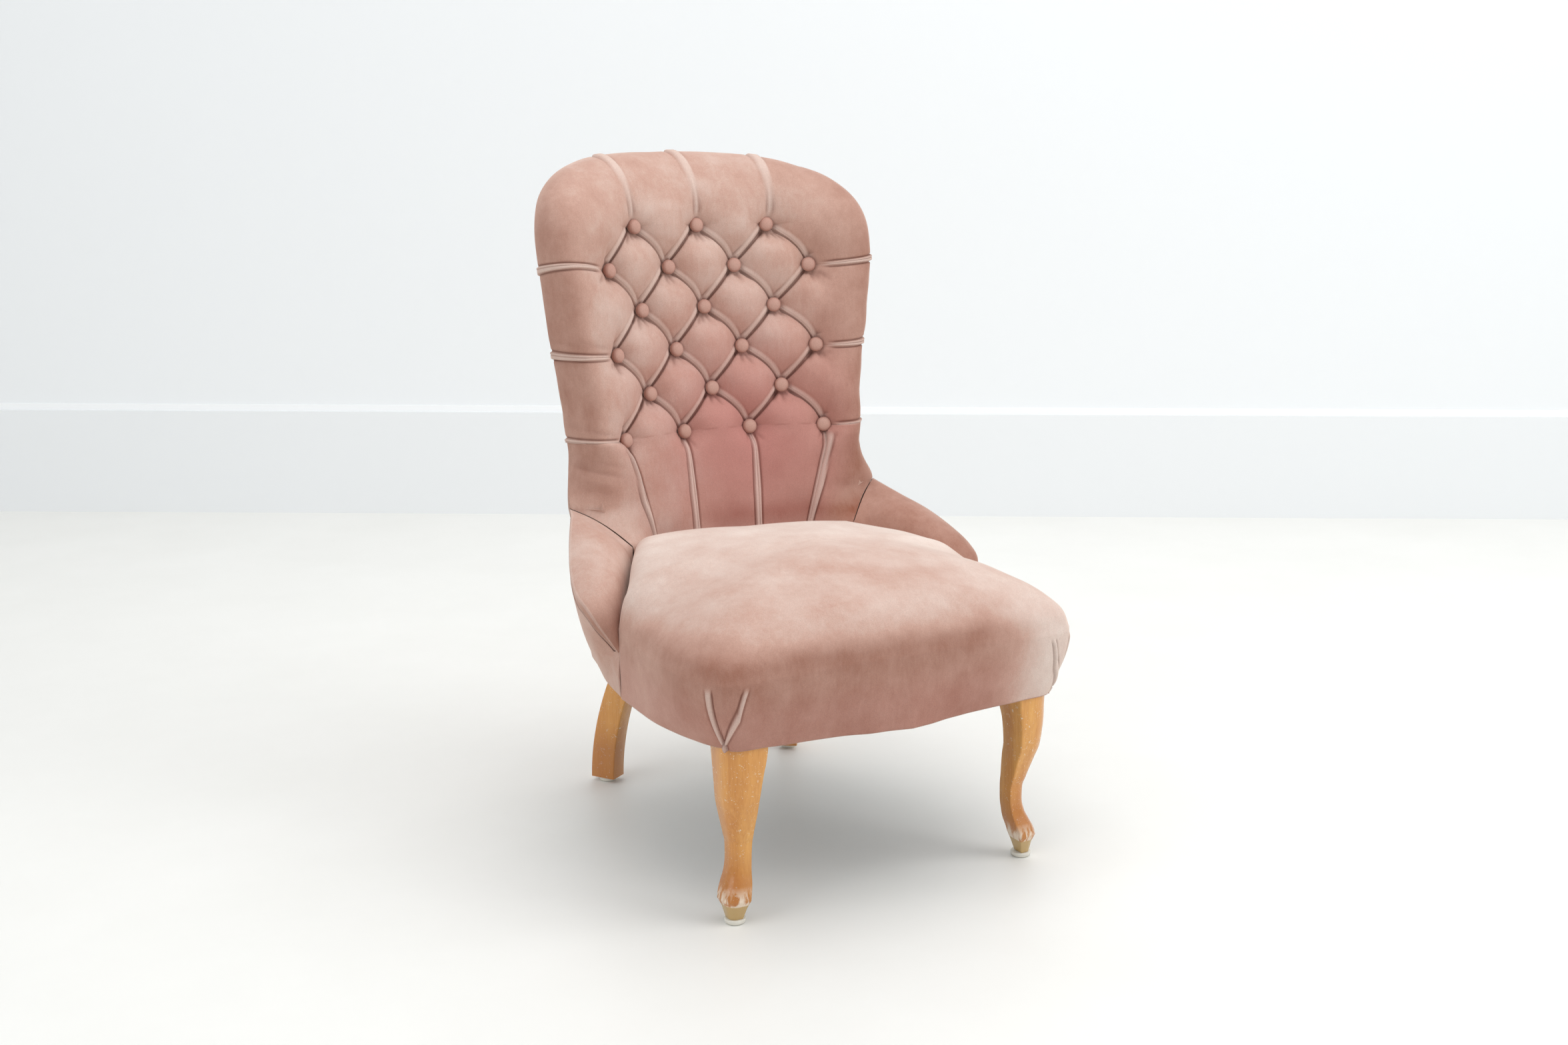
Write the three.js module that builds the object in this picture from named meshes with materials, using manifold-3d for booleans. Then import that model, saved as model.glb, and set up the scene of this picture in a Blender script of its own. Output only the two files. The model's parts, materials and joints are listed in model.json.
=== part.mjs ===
// A low button-back chair: a deep-buttoned curved back, short arms that sweep down from the back and tuck
// in against the sides of a domed seat, cabriole front legs, sabre rear legs, and a beech frame with webbing
// and coil springs inside the upholstery.
// Millimetres. +X is the viewer's right when looking at the front, +Y points to the rear, +Z is up.
import * as THREE from "three";
import { mergeVertices } from "three/addons/utils/BufferGeometryUtils.js";
import Module from "manifold-3d";

const wasm = await Module();
wasm.setup();

// Overall sizes
const backTop = 861; // top of the back above the floor
const hemHeight = 217; // lower edge of the upholstery above the floor
const seatCrown = 397; // highest point of the seat
const hemHalfWidth = 249; // widest half width of the upholstery's lower edge
const frontReach = 305; // lower edge at the middle of the front, before the origin
const rearReach = 222; // lower edge at the middle of the rear, behind the origin
const gap = 0.3; // clearance between neighbouring pieces
const slack = 0.35; // more clearance where one piece follows another round a bend
const overrun = 60; // how far a cutting block runs past what it cuts
const fabric = 2.2; // a cover with its lining

// Back
const faceReach = 98.8; // the button plane at the middle, brought down to the floor
const recline = 0.2074; // run of the button plane per unit of height
const backRadius = 327; // plan curve of the button plane
const puffHeight = 34; // how far a puff stands in front of its buttons
const edgeSetback = 50; // the back's outer edge lies this far behind the button plane
const shoulderHalfWidth = 245;
const shoulderHeight = 735;
const waistHalfWidth = 222;
const waistHeight = 455;
const shoulderPower = 2.9; // roundness of the top corners, where 2 is an ellipse
const crownHalfWidth = 175; // the top corners start here
const seamOuterHalfWidth = 230; // outer end of the seam between back and arm
const seamOuterHeight = 402;
const seamOuterReach = 150;
const seamInnerHalfWidth = 165; // inner end of that seam, at the seat
const seamFall = 37; // its inner end lies this much lower
const seamInnerHeight = seamOuterHeight - seamFall;
const seamInnerReach = 100;
const tuckHeight = 290; // the covers end here behind the seat
const tuckHalfWidth = 157;
const tuckReach = 103;
const tuckPuffShare = 0.4; // puff height left there
const padDepth = 8; // back padding behind the button plane
const sideStuffing = 21; // padding between the frame and the cover at the back's edge
const waistStuffing = 13; // and this much more beside the waist
const postInset = 5; // a post stands this far inside the stuffing

// Buttons
const buttonPitch = 102.2; // between neighbours in a row
const rowPitch = 53.9; // between rows
const lowestRow = 491.9; // height of the lowest row
const rowCount = 6;
const buttonRadius = 9.8;
const buttonRise = 5.5; // dome over the rim
const buttonDraft = 1.3; // slope of the drawn-in underside
const foldShare = 0.5; // height of a fold midway between two buttons
const pleatShare = 0.38; // depth of a straight pleat next to its button
const lowPleatShare = 0.6; // depth of the lowest pleats

// Seat
const seatCentreY = -80;
const seatHalfWidth = 260;
const seatRearReach = 136; // rear edge of the seat at the middle
const armSideEndX = 167; // the seat's side turns in behind the arm and runs straight to here
const armSideEndY = 87;
const seatEdgeHeight = 312; // the seat's fullest line
const cornerPleatDepth = 3;
const cornerPleatSpread = 22; // between the V pleat's legs at their top, halved
const cornerPleatFoot = 9; // and at the lower edge

// Arms
const armSpread = 290; // widest half width
const armTipReach = -40;
const armTipHeight = 266;
const armCrown = 12; // rise of the padding over the arm's edges
const armSeamDrop = 12; // the outside panel's seam lies this far under the arm's edge
const armTuck = 8; // the arm's cover runs this far in beside the seat at its nose
const crownPower = 0.7; // fullness of that rise
const armPadding = 14;
const paddingShare = 0.09; // of the arm's width, where it is narrow
const paddingEdgeShare = 0.6; // of its depth, along both sides
const panelBulge = 4; // outward swell of the outside panels

// Frame
const railThickness = 24;
const railBottom = 226;
const railHeight = 58;
const railTop = railBottom + railHeight;
const rearSplit = 120; // the side rails end here, and the rear rail starts
const postWidth = 36;
const postDepth = 28;
const backRailThickness = 22;
const topRailBottom = 745;
const armRailWidth = 22;
const armRailDepth = 20;
const armRailShare = 0.35; // of the way from the side rail up to the arm's surface
const blockReach = 46; // legs of a front corner block's triangle
const hessianThickness = 1.4;

// Seat suspension
const strapWidth = 50;
const strapThickness = 2;
const strapLap = 12; // a strap's hold on the rail at each end
const springPitch = 98;
const springRowPitch = 140;
const springRadius = 30;
const springWaist = 20;
const wireRadius = 1.9;
const springTurnCount = 4;
const hessianRise = 42;
const dustThickness = 1.2;

// Legs
const frontLegX = 201.6; // middle of a front foot
const frontLegY = -250;
const legShift = 1.4; // the post above a front leg stands this much nearer the middle
const frontPostWidth = 33; // above the lower edge of the upholstery
const rearLegX = 145; // middle of a rear foot
const rearLegY = 244;
const rearLegDepth = 34.4;
const rearLegWidth = 23.7;
const rearLegTurn = (34 * Math.PI) / 180; // outwards from straight back
const rearLegSweep = 68; // the foot stands this far behind the leg's top
const edgeRadius = 4; // of the wood
const glideRadius = 12.5;
const glideHeight = 6.2;

// Finishes
const velvet = { color: 0xbf9084, roughness: 0.9, metalness: 0 };
const varnishedBeech = { color: 0xc0752c, roughness: 0.35, metalness: 0 };
const rawBeech = { color: 0xd9b98a, roughness: 0.7, metalness: 0 };
const jute = { color: 0xa98c5c, roughness: 1, metalness: 0 };
const cottonFelt = { color: 0xe3d9c4, roughness: 1, metalness: 0 };
const springSteel = { color: 0x8d8f90, roughness: 0.35, metalness: 1 };
const blackCambric = { color: 0x2b2a29, roughness: 1, metalness: 0 };
const whiteNylon = { color: 0xe9e6dc, roughness: 0.5, metalness: 0 };

const chair = new THREE.Group();
const { lerp, clamp, smoothstep, radToDeg } = THREE.MathUtils;
const point = (x, y, z) => new THREE.Vector3(x, y, z);
const count = (n) => [...Array(n).keys()];
const steps = (from, to) => count(to - from + 1).map((i) => from + i);

function addPiece(name, geometry, finish) {
  const mesh = new THREE.Mesh(geometry, new THREE.MeshStandardMaterial(finish));
  mesh.name = name;
  chair.add(mesh);
  return mesh;
}

// A left and a right piece, the second mirrored.
function addPair(name, geometry, finish) {
  const mirrored = geometry.clone().scale(-1, 1, 1);
  const order = mirrored.index.array;
  for (let i = 0; i < order.length; i += 3) [order[i], order[i + 1]] = [order[i + 1], order[i]];
  addPiece(`${name}_right`, geometry, finish);
  addPiece(`${name}_left`, mirrored, finish);
}

// An indexed geometry whose faces are turned to point out.
function bodyOf(points, faces) {
  const cone = ([a, b, c]) => points[a].dot(points[b].clone().cross(points[c]));
  const volume = faces.reduce((sum, face) => sum + cone(face), 0);
  const geometry = new THREE.BufferGeometry().setFromPoints(points);
  geometry.setIndex((volume < 0 ? faces.map(([a, b, c]) => [a, c, b]) : faces).flat());
  geometry.computeVertexNormals();
  return geometry;
}

function solidOf(geometry) {
  const bare = new THREE.BufferGeometry();
  bare.setAttribute("position", geometry.getAttribute("position").clone());
  if (geometry.index) bare.setIndex(geometry.index.clone());
  const merged = mergeVertices(bare);
  const vertProperties = merged.getAttribute("position").array;
  const triVerts = new Uint32Array(merged.index.array);
  return new wasm.Manifold(new wasm.Mesh({ numProp: 3, vertProperties, triVerts }));
}

function geometryOf(solid) {
  const { vertProperties, triVerts } = solid.getMesh();
  const geometry = new THREE.BufferGeometry();
  geometry.setAttribute("position", new THREE.BufferAttribute(new Float32Array(vertProperties), 3));
  geometry.setIndex([...triVerts]);
  geometry.computeVertexNormals();
  return geometry;
}

function block(x0, x1, y0, y1, z0, z1) {
  const box = new THREE.BoxGeometry(x1 - x0, y1 - y0, z1 - z0);
  return solidOf(box.translate((x0 + x1) / 2, (y0 + y1) / 2, (z0 + z1) / 2));
}

// The faces between rows of points. A wrapped sheet's rows close on themselves.
function gridFaces(rows, columns, wrapped, slant = () => false) {
  const faces = [];
  for (let r = 0; r + 1 < rows; r++)
    for (let c = 0; c < (wrapped ? columns : columns - 1); c++) {
      const next = (c + 1) % columns;
      const [a, b] = [r * columns + c, r * columns + next];
      const [d, e] = [a + columns, b + columns];
      faces.push(...(slant(r, c) ? [[a, b, d], [b, e, d]] : [[a, b, e], [a, e, d]]));
    }
  return faces;
}

const flipped = (faces) => faces.map(([a, b, c]) => [a, c, b]);

// The points moved along the sheet's own normals.
function shifted(points, faces, distance) {
  const normals = points.map(() => point(0, 0, 0));
  for (const [a, b, c] of faces) {
    const face = points[b].clone().sub(points[a]).cross(points[c].clone().sub(points[a]));
    for (const i of [a, b, c]) normals[i].add(face);
  }
  return points.map((p, i) => p.clone().addScaledVector(normals[i].normalize(), distance));
}

// A body between two sheets of the same layout, closed along their border.
function between(front, rear, faces) {
  const size = front.length;
  const all = [...faces, ...faces.map(([a, b, c]) => [a + size, c + size, b + size])];
  const directed = new Set(faces.flatMap(([a, b, c]) => [`${a},${b}`, `${b},${c}`, `${c},${a}`]));
  for (const edge of directed) {
    const [a, b] = edge.split(",").map(Number);
    if (directed.has(`${b},${a}`)) continue;
    const [c, d] = [a + size, b + size];
    const shorter = front[b].distanceTo(rear[a]) < front[a].distanceTo(rear[b]);
    all.push(...(shorter ? [[b, a, c], [b, c, d]] : [[b, a, d], [a, c, d]]));
  }
  return bodyOf([...front, ...rear], all);
}

// A body through rings of equally many points, with flat or fanned ends.
function loft(rings) {
  const size = rings[0].length;
  const points = rings.flat();
  const faces = gridFaces(rings.length, size, true);
  for (const end of [0, rings.length - 1]) {
    const middle = rings[end].reduce((sum, p) => sum.add(p), point(0, 0, 0)).divideScalar(size);
    const hub = points.push(middle) - 1;
    for (const i of count(size)) {
      const [a, b] = [end * size + i, end * size + ((i + 1) % size)];
      faces.push(end ? [a, b, hub] : [b, a, hub]);
    }
  }
  return bodyOf(points, faces);
}

// A rectangle with bevelled corners, from its middle and two half sides.
function section(middle, across, along, bevel = 0) {
  const [w, d] = [across.length(), along.length()];
  const corners = [[1, 1], [-1, 1], [-1, -1], [1, -1]];
  return corners.flatMap(([i, j], k) => {
    const corner = (s, t) => middle.clone().addScaledVector(across, i * s).addScaledVector(along, j * t);
    if (!bevel) return [corner(1, 1)];
    const cuts = [[1, 1 - bevel / d], [1 - (0.3 * bevel) / w, 1 - (0.3 * bevel) / d], [1 - bevel / w, 1]];
    return (k % 2 ? cuts.reverse() : cuts).map(([s, t]) => corner(s, t));
  });
}

// Back: a grid of quarter pitches on the button plane, then cells that carry it to the outer edge
const columnCount = 6; // the outermost buttons, in quarter pitches from the middle
const topRow = 2 * (rowCount - 1); // the top buttons, in half rows from the lowest
const edgeCount = 5;
const lowCount = 7;
const wallStart = 0.6; // the padding's rear reaches the frame's side at this share of the border
const openCount = 3; // from this row down the face runs out to its edge without a roll
const facePlane = (x, z) => faceReach + recline * z - x ** 2 / (2 * backRadius);

function rowHeight(row) {
  if (row >= 0) return lowestRow + (Math.min(row, topRow) * rowPitch) / 2;
  if (row >= -3) return lerp(lowestRow, seamOuterHeight, -row / 3);
  if (row >= -5) return lerp(seamOuterHeight, seamInnerHeight, (-3 - row) / 2);
  return lerp(seamInnerHeight, tuckHeight, (-5 - row) / 2);
}

const topArc = (share) => (1 - share ** shoulderPower) ** (1 / shoulderPower);
const crownRise = backTop - shoulderHeight;
const topHeight = (x) => shoulderHeight + crownRise * topArc(Math.abs(x) / shoulderHalfWidth);

function edgeHalfWidth(z) {
  if (z > shoulderHeight) return shoulderHalfWidth * topArc((z - shoulderHeight) / crownRise);
  if (z > waistHeight) {
    return lerp(waistHalfWidth, shoulderHalfWidth, smoothstep(z, waistHeight, shoulderHeight));
  }
  if (z > seamOuterHeight) {
    return lerp(seamOuterHalfWidth, waistHalfWidth, smoothstep(z, seamOuterHeight, waistHeight));
  }
  if (z > seamInnerHeight) {
    const share = (z - seamInnerHeight) / (seamOuterHeight - seamInnerHeight);
    return lerp(seamInnerHalfWidth, seamOuterHalfWidth, share);
  }
  return lerp(tuckHalfWidth, seamInnerHalfWidth, (z - tuckHeight) / (seamInnerHeight - tuckHeight));
}

function edgeReach(x, z) {
  if (z >= seamOuterHeight) return facePlane(x, z) + edgeSetback;
  if (z >= seamInnerHeight) {
    const outer = facePlane(seamOuterHalfWidth, seamOuterHeight) + edgeSetback;
    return lerp(seamInnerReach, outer, (z - seamInnerHeight) / (seamOuterHeight - seamInnerHeight));
  }
  return lerp(tuckReach, seamInnerReach, (z - tuckHeight) / (seamInnerHeight - tuckHeight));
}

// How far a grid place lies beyond the buttons, sideways and upwards, as shares of the border.
const beyond = (column, row) => ({
  side: Math.max(0, Math.abs(column) - columnCount) / edgeCount,
  top: Math.max(0, row - topRow) / edgeCount,
});

// The place on the back's outline that a grid place leads to.
function edgePlace(column, row) {
  const { side, top } = beyond(column, row);
  let x = edgeHalfWidth(rowHeight(row));
  let z = rowHeight(row);
  if (top > 0 && side === 0) {
    x = (crownHalfWidth * Math.abs(column)) / columnCount;
    z = topHeight(x);
  } else if (top > 0) {
    const turn = top >= side ? side / top / 2 : 1 - top / side / 2;
    const start = Math.acos((crownHalfWidth / shoulderHalfWidth) ** (shoulderPower / 2));
    const topRowShare = (rowHeight(topRow) - shoulderHeight) / crownRise;
    const angle = lerp(start, Math.asin(topRowShare ** (shoulderPower / 2)), turn);
    x = shoulderHalfWidth * Math.cos(angle) ** (2 / shoulderPower);
    z = shoulderHeight + crownRise * Math.sin(angle) ** (2 / shoulderPower);
  }
  return point(Math.sign(column) * x, edgeReach(x, z), z);
}

// The place of a grid column and row on the button plane, inside the border.
function innerPlace(column, row) {
  const z = rowHeight(row);
  const halfWidth = Math.min((columnCount * buttonPitch) / 4, 0.8 * edgeHalfWidth(z));
  const x = (halfWidth * clamp(column, -columnCount, columnCount)) / columnCount;
  return point(x, facePlane(x, z), z);
}

// Fullness of the padding, 0 at a button and 1 at the top of a puff. Folds join the buttons slantwise, and
// straight pleats run from the outer buttons to the edge and from the lowest ones to the seat.
function fullness(column, row) {
  const { side, top } = beyond(column, row);
  const wave = (share) => Math.abs(Math.sin(Math.PI * share));
  const fade = 1 - Math.max(side, top);
  if (row < 0) {
    const share = -row / lowCount;
    const depth = side > 0 ? 0 : lowPleatShare * (1 - share);
    return lerp(1, tuckPuffShare, share) * (1 - depth * (1 - wave(column / 4 + 0.5)));
  }
  if (top > 0 && side > 0) return 1;
  if (top > 0) return 1 - pleatShare * fade ** 2 * (1 - wave(column / 4));
  if (side > 0) return 1 - pleatShare * fade ** 2 * (1 - wave(row / 4));
  const [p, q] = [wave((column + row - 2) / 4), wave((column - row - 2) / 4)];
  return lerp(Math.sqrt(p * q), Math.max(p, q), foldShare);
}

// The cover's face, which rolls round to the outer edge in a quarter turn.
function backFace(column, row) {
  const { side, top } = beyond(column, row);
  const out = Math.max(side, top);
  const turn = (out * Math.PI) / 2;
  const openness = clamp(1 - openCount - row, 0, 1);
  const [inner, edge] = [innerPlace(column, row), edgePlace(column, row)];
  const place = inner.clone().lerp(edge, lerp(Math.sin(turn), out, openness));
  const front = facePlane(place.x, place.z) - puffHeight * fullness(column, row);
  place.y = lerp(front, edge.y, 1 - Math.cos(turn));
  return place;
}

// The rear of the padding: flat behind the buttons, then turned back along the frame's outer side.
function paddingRear(column, row) {
  const { side, top } = beyond(column, row);
  const out = Math.max(side, top);
  const turnShare = lerp(1, wallStart, clamp((row + openCount) / 2, 0, 1));
  const [inner, edge] = [innerPlace(column, row), edgePlace(column, row)];
  const inward = point(inner.x - edge.x, 0, inner.z - edge.z);
  const atWaist = clamp(-row / 2, 0, 1) * clamp(row + 4, 0, 1);
  const stuffing = sideStuffing + waistStuffing * atWaist;
  const rim = edge.clone().addScaledVector(inward.normalize(), stuffing);
  const place = inner.clone().lerp(rim, Math.min(1, out / turnShare));
  const depth = row < 0 ? lerp(padDepth, -padDepth / 2, -row / lowCount) : padDepth;
  const wall = out > turnShare ? (out - turnShare) / (1 - turnShare) : 0;
  place.y = lerp(facePlane(place.x, place.z) + depth, edge.y - fabric, wall);
  return place;
}

const backColumns = steps(-columnCount - edgeCount, columnCount + edgeCount);
const backRows = steps(-lowCount, topRow + edgeCount);
const overBack = (place) => backRows.flatMap((row) => backColumns.map((column) => place(column, row)));
const foldSlant = (r, c) => {
  const [row, column] = [backRows[r], backColumns[c]];
  if (row >= topRow && (column >= columnCount || column < -columnCount)) return column < 0;
  if (row >= topRow) return (column + 4 * columnCount) % 4 >= 2;
  return Math.floor((column + 4 * columnCount) / 2) % 2 === Math.floor((row + 4 * lowCount) / 2) % 2;
};
const backFaces = gridFaces(backRows.length, backColumns.length, false, foldSlant);

function addBack() {
  const face = overBack(backFace);
  addPiece("inside_back_cover", between(face, shifted(face, backFaces, -fabric), backFaces), velvet);
  const under = shifted(face, backFaces, -fabric - gap);
  addPiece("back_padding", between(under, overBack(paddingRear), backFaces), cottonFelt);
}

// Covered buttons, each drawn into its pit
function buttonShape() {
  const rim = buttonRadius * buttonDraft;
  const arc = count(4).map((i) => (i * Math.PI) / 6);
  const dome = arc.map((a) => new THREE.Vector2(buttonRadius * Math.cos(a), rim + buttonRise * Math.sin(a)));
  const outline = [new THREE.Vector2(0, 0), ...dome.slice(0, 3), new THREE.Vector2(0, rim + buttonRise)];
  return new THREE.LatheGeometry(outline, 10);
}

function addButtons() {
  for (const row of count(rowCount)) {
    const perRow = row % 2 ? 3 : 4;
    for (const i of count(perRow)) {
      const x = (i - (perRow - 1) / 2) * buttonPitch;
      const z = lowestRow + row * rowPitch;
      const outward = point(-x / backRadius, -1, recline).normalize();
      const mesh = addPiece(`button_${rowCount - row}_${i + 1}`, buttonShape(), velvet);
      mesh.quaternion.setFromUnitVectors(point(0, 1, 0), outward);
      mesh.position.set(x, facePlane(x, z), z).addScaledVector(outward, gap);
    }
  }
}

// Seat: columns of points round its edge, from the front middle to the rear middle of the right half.
// Each row holds shares of the half width and of the reach, at the seat's fullest line and at its lower
// edge.
const seatFrontShares = [
  [0, 1, 0, 1],
  [0.23, 0.996, 0.17, 0.96],
  [0.46, 0.985, 0.39, 0.918],
  [0.68, 0.973, 0.62, 0.915],
  [0.85, 0.955, 0.8, 0.93],
  [0.95, 0.905, 0.91, 0.905],
  [0.996, 0.81, 0.93, 0.815],
  [1, 0.66, 0.935, 0.65],
  [0.992, 0.46, 0.955, 0.44],
  [0.974, 0.29, 0.98, 0.29],
  [0.955, 0.15, 0.995, 0.15],
];
const cornerIndex = 5; // the front corner in that table
const wallShares = [0, 0.35, 0.7, 1]; // heights of the rows below the fullest line
const domeShares = [
  [0.28, 0.985],
  [0.53, 0.94],
  [0.71, 0.85],
  [0.86, 0.64],
  [0.95, 0.34],
];

const seatCurve = (column) => {
  const places = seatFrontShares.map((row) => point(row[column], row[column + 1] * -frontReach, 0));
  return new THREE.CatmullRomCurve3(places);
};
const edgeCurve = seatCurve(0);
const lowerCurve = seatCurve(2);
const onCurve = (curve, index, halfWidth) => {
  const place = curve.getPoint(index / (seatFrontShares.length - 1));
  return place.setX(place.x * halfWidth);
};
const armSideStart = onCurve(lowerCurve, seatFrontShares.length - 1, hemHalfWidth);

// Half of the seat's columns: each gives a place for a height share up its wall.
function seatColumns() {
  const pleatTopShare = 0.8;
  const indices = steps(0, seatFrontShares.length - 1);
  const front = indices.flatMap((i) => (i === cornerIndex ? [i - 0.5, i, i + 0.5] : [i]));
  const columns = front.map((index) => (share) => {
    const legs = index - cornerIndex;
    const isLeg = Math.abs(legs) === 0.5;
    const rise = Math.min(1, share / pleatTopShare);
    const spread = lerp(cornerPleatFoot / cornerPleatSpread, 1, rise);
    const at = isLeg ? cornerIndex + legs * spread : index;
    const edge = onCurve(edgeCurve, at, seatHalfWidth);
    const lower = onCurve(lowerCurve, at, hemHalfWidth);
    const place = lower.lerp(edge, smoothstep(share, 0, 1));
    if (isLeg) place.addScaledVector(point(-1, 1, 0).normalize(), cornerPleatDepth * (1 - share));
    return place.setZ(lerp(hemHeight, seatEdgeHeight, share));
  });
  const tucked = (x, y) => (share) => point(x, y, lerp(tuckHeight, seatEdgeHeight, share));
  const lineShares = [0.01, 0.25, 0.5, 0.75, 1];
  for (const share of lineShares) {
    columns.push(tucked(lerp(armSideStart.x, armSideEndX, share), lerp(armSideStart.y, armSideEndY, share)));
  }
  for (const share of [0.9, 0.62, 0.32, 0]) {
    const x = share * armSideEndX;
    columns.push(tucked(x, seatRearReach - x ** 2 / (2 * backRadius)));
  }
  return columns;
}

const mirrored = (place) => place.clone().setX(-place.x);
const halfSeat = seatColumns();
const seatLoop = (share) => {
  const right = halfSeat.map((column) => column(share));
  return [...right, ...right.slice(1, -1).reverse().map(mirrored)];
};
const seatColumnCount = 2 * halfSeat.length - 2;

// The seat's rows from its lower edge up to the crown, which is one point in the middle.
const seatCentre = (z) => point(0, seatCentreY, z);
function scaledLoop(planShare, z) {
  return seatLoop(1).map((place) => seatCentre(z).lerp(place.clone().setZ(z), planShare));
}
const domeHeight = (share) => lerp(seatEdgeHeight, seatCrown, share);

// A sheet of loops with one point in the middle of the last.
function domedSheet(loops, middle) {
  const faces = gridFaces(loops.length, loops[0].length, true);
  const last = (loops.length - 1) * loops[0].length;
  const hub = loops.length * loops[0].length;
  for (const i of count(loops[0].length)) faces.push([last + i, last + ((i + 1) % loops[0].length), hub]);
  return { points: [...loops.flat(), middle], faces };
}

// Hessian over the springs: flat on the rails, then up to a level middle.
const railsShare = 0.88;
const levelShare = 0.66;
function hessianHeight(planShare) {
  return railTop + gap + hessianRise * clamp((railsShare - planShare) / (railsShare - levelShare), 0, 1);
}
const hessianLoops = (planShares, lift) =>
  planShares.map((share) => scaledLoop(share, hessianHeight(share) + lift));

function addSeat() {
  const domes = domeShares.map(([rise, planShare]) => scaledLoop(planShare, domeHeight(rise)));
  const cover = domedSheet([...wallShares.map(seatLoop), ...domes], seatCentre(seatCrown));
  const lining = shifted(cover.points, cover.faces, -fabric);
  addPiece("seat_cover", between(cover.points, lining, cover.faces), velvet);

  const low = seatLoop(1).map((place) => seatCentre(tuckHeight).lerp(place.setZ(tuckHeight), 0.985));
  const upper = domedSheet([low, seatLoop(1), ...domes], seatCentre(seatCrown));
  const top = shifted(upper.points, upper.faces, -fabric - gap - slack);
  const baseShares = [0.955, railsShare, 0.82, 0.77, 0.71, levelShare, 0.3];
  const base = hessianLoops(baseShares, hessianThickness + gap + slack);
  const bottom = [...base.flat(), seatCentre(hessianHeight(0) + hessianThickness + gap + slack)];
  addPiece("seat_padding", between(top, bottom, upper.faces), cottonFelt);

  const sheet = domedSheet(hessianLoops([0.955, railsShare, levelShare], 0), seatCentre(hessianHeight(0)));
  const thick = sheet.points.map((p) => p.clone().setZ(p.z + hessianThickness));
  addPiece("seat_hessian", between(thick, sheet.points, sheet.faces), jute);
}

// Arms: rows of points from the tip against the seat's side back to the seam with the back.
// Outer edge: shares of the spread, of the run back and of the rise. Inner edge: shares of the seat's side
// line and of the rise. The last share is the padding's fullness.
const armRowShares = [
  [0.907, 0, 0, 0, 0, 0.3],
  [0.934, 0.005, 0.16, 0.015, 0.14, 0.35],
  [0.962, 0.012, 0.34, 0.06, 0.3, 0.45],
  [0.986, 0.07, 0.46, 0.15, 0.47, 0.6],
  [1, 0.19, 0.56, 0.3, 0.62, 0.85],
  [0.983, 0.34, 0.68, 0.5, 0.71, 1],
  [0.931, 0.56, 0.84, 0.7, 0.75, 1],
  [0.868, 0.77, 0.92, 0.86, 0.74, 0.8],
  [0.8, 0.945, 0.93, 0.97, 0.68, 0.2],
];

// A row crosses the arm's nose upright, and turns level further back.
const uprightCount = 4;
function armRow([spread, run, rise, side, innerRise, full], index) {
  const height = (share) => lerp(armTipHeight, seamOuterHeight, share);
  const outer = point(spread * armSpread, lerp(armTipReach, seamOuterReach, run), height(rise));
  const clear = gap + 2 * slack;
  const inner = point(
    lerp(armSideStart.x, armSideEndX, side) + (side ? clear : fabric),
    lerp(armSideStart.y, armSideEndY, side) + (side ? clear : 0),
    height(innerRise),
  );
  const level = Math.min(1, index / uprightCount);
  const outward = point(0, level - 1, level).normalize();
  const crown = (share) => {
    const swell = armCrown * full * Math.sin(Math.PI * share) ** crownPower;
    return outer.clone().lerp(inner, share).addScaledVector(outward, swell);
  };
  const seam = outer.clone().addScaledVector(outward, -armSeamDrop).add(point(-level * fabric, 0, 0));
  const alongSeat = point(armSideEndX, armSideEndY, 0).sub(armSideStart.clone().setZ(0)).setLength(armTuck);
  const low = clamp(inner.z - 6 * armSeamDrop, tuckHeight, inner.z - armSeamDrop);
  const tuck = inner.clone().addScaledVector(alongSeat, 1 - level).setZ(lerp(inner.z, low, level));
  return [seam, outer, crown(0.17), crown(0.36), crown(0.6), crown(0.83), inner, tuck];
}

const armRows = armRowShares.map(armRow);
const armFaces = flipped(gridFaces(armRows.length, armRows[0].length, false));

function addArms() {
  const face = armRows.flat();
  addPair("arm_cover", between(face, shifted(face, armFaces, -fabric), armFaces), velvet);
  const under = shifted(face, armFaces, -fabric - gap);
  const depth = armRows.flatMap((row, i) => {
    const width = row[1].distanceTo(row[6]);
    const full = Math.min(armPadding * armRowShares[i][5], paddingShare * width);
    return row.map((p, k) => (k < 2 || k > 5 ? paddingEdgeShare * full : full));
  });
  const normals = shifted(face, armFaces, 1).map((p, i) => p.sub(face[i]));
  const rear = under.map((p, i) => p.clone().addScaledVector(normals[i], -depth[i]));
  addPair("arm_padding", between(under, rear, armFaces), cottonFelt);
}

// Outside cover: columns from the rear middle round to the arm's tip, each from the lower edge up to the
// back's outer edge or the arm's seam. The lower edge follows shares of the half width and of the reach.
const hemRearShares = [
  [0, 1],
  [0.3, 0.992],
  [0.5, 0.957],
  [0.645, 0.88],
  [0.755, 0.765],
  [0.825, 0.665],
  [0.888, 0.396],
  [0.956, 0.104],
  [0.995, -0.19],
];
const hemRear = new THREE.CatmullRomCurve3(
  hemRearShares.map(([x, y]) => point(x * hemHalfWidth, y * rearReach, hemHeight)),
);
const onHem = (index) => hemRear.getPoint(index / (hemRearShares.length - 1));

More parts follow.
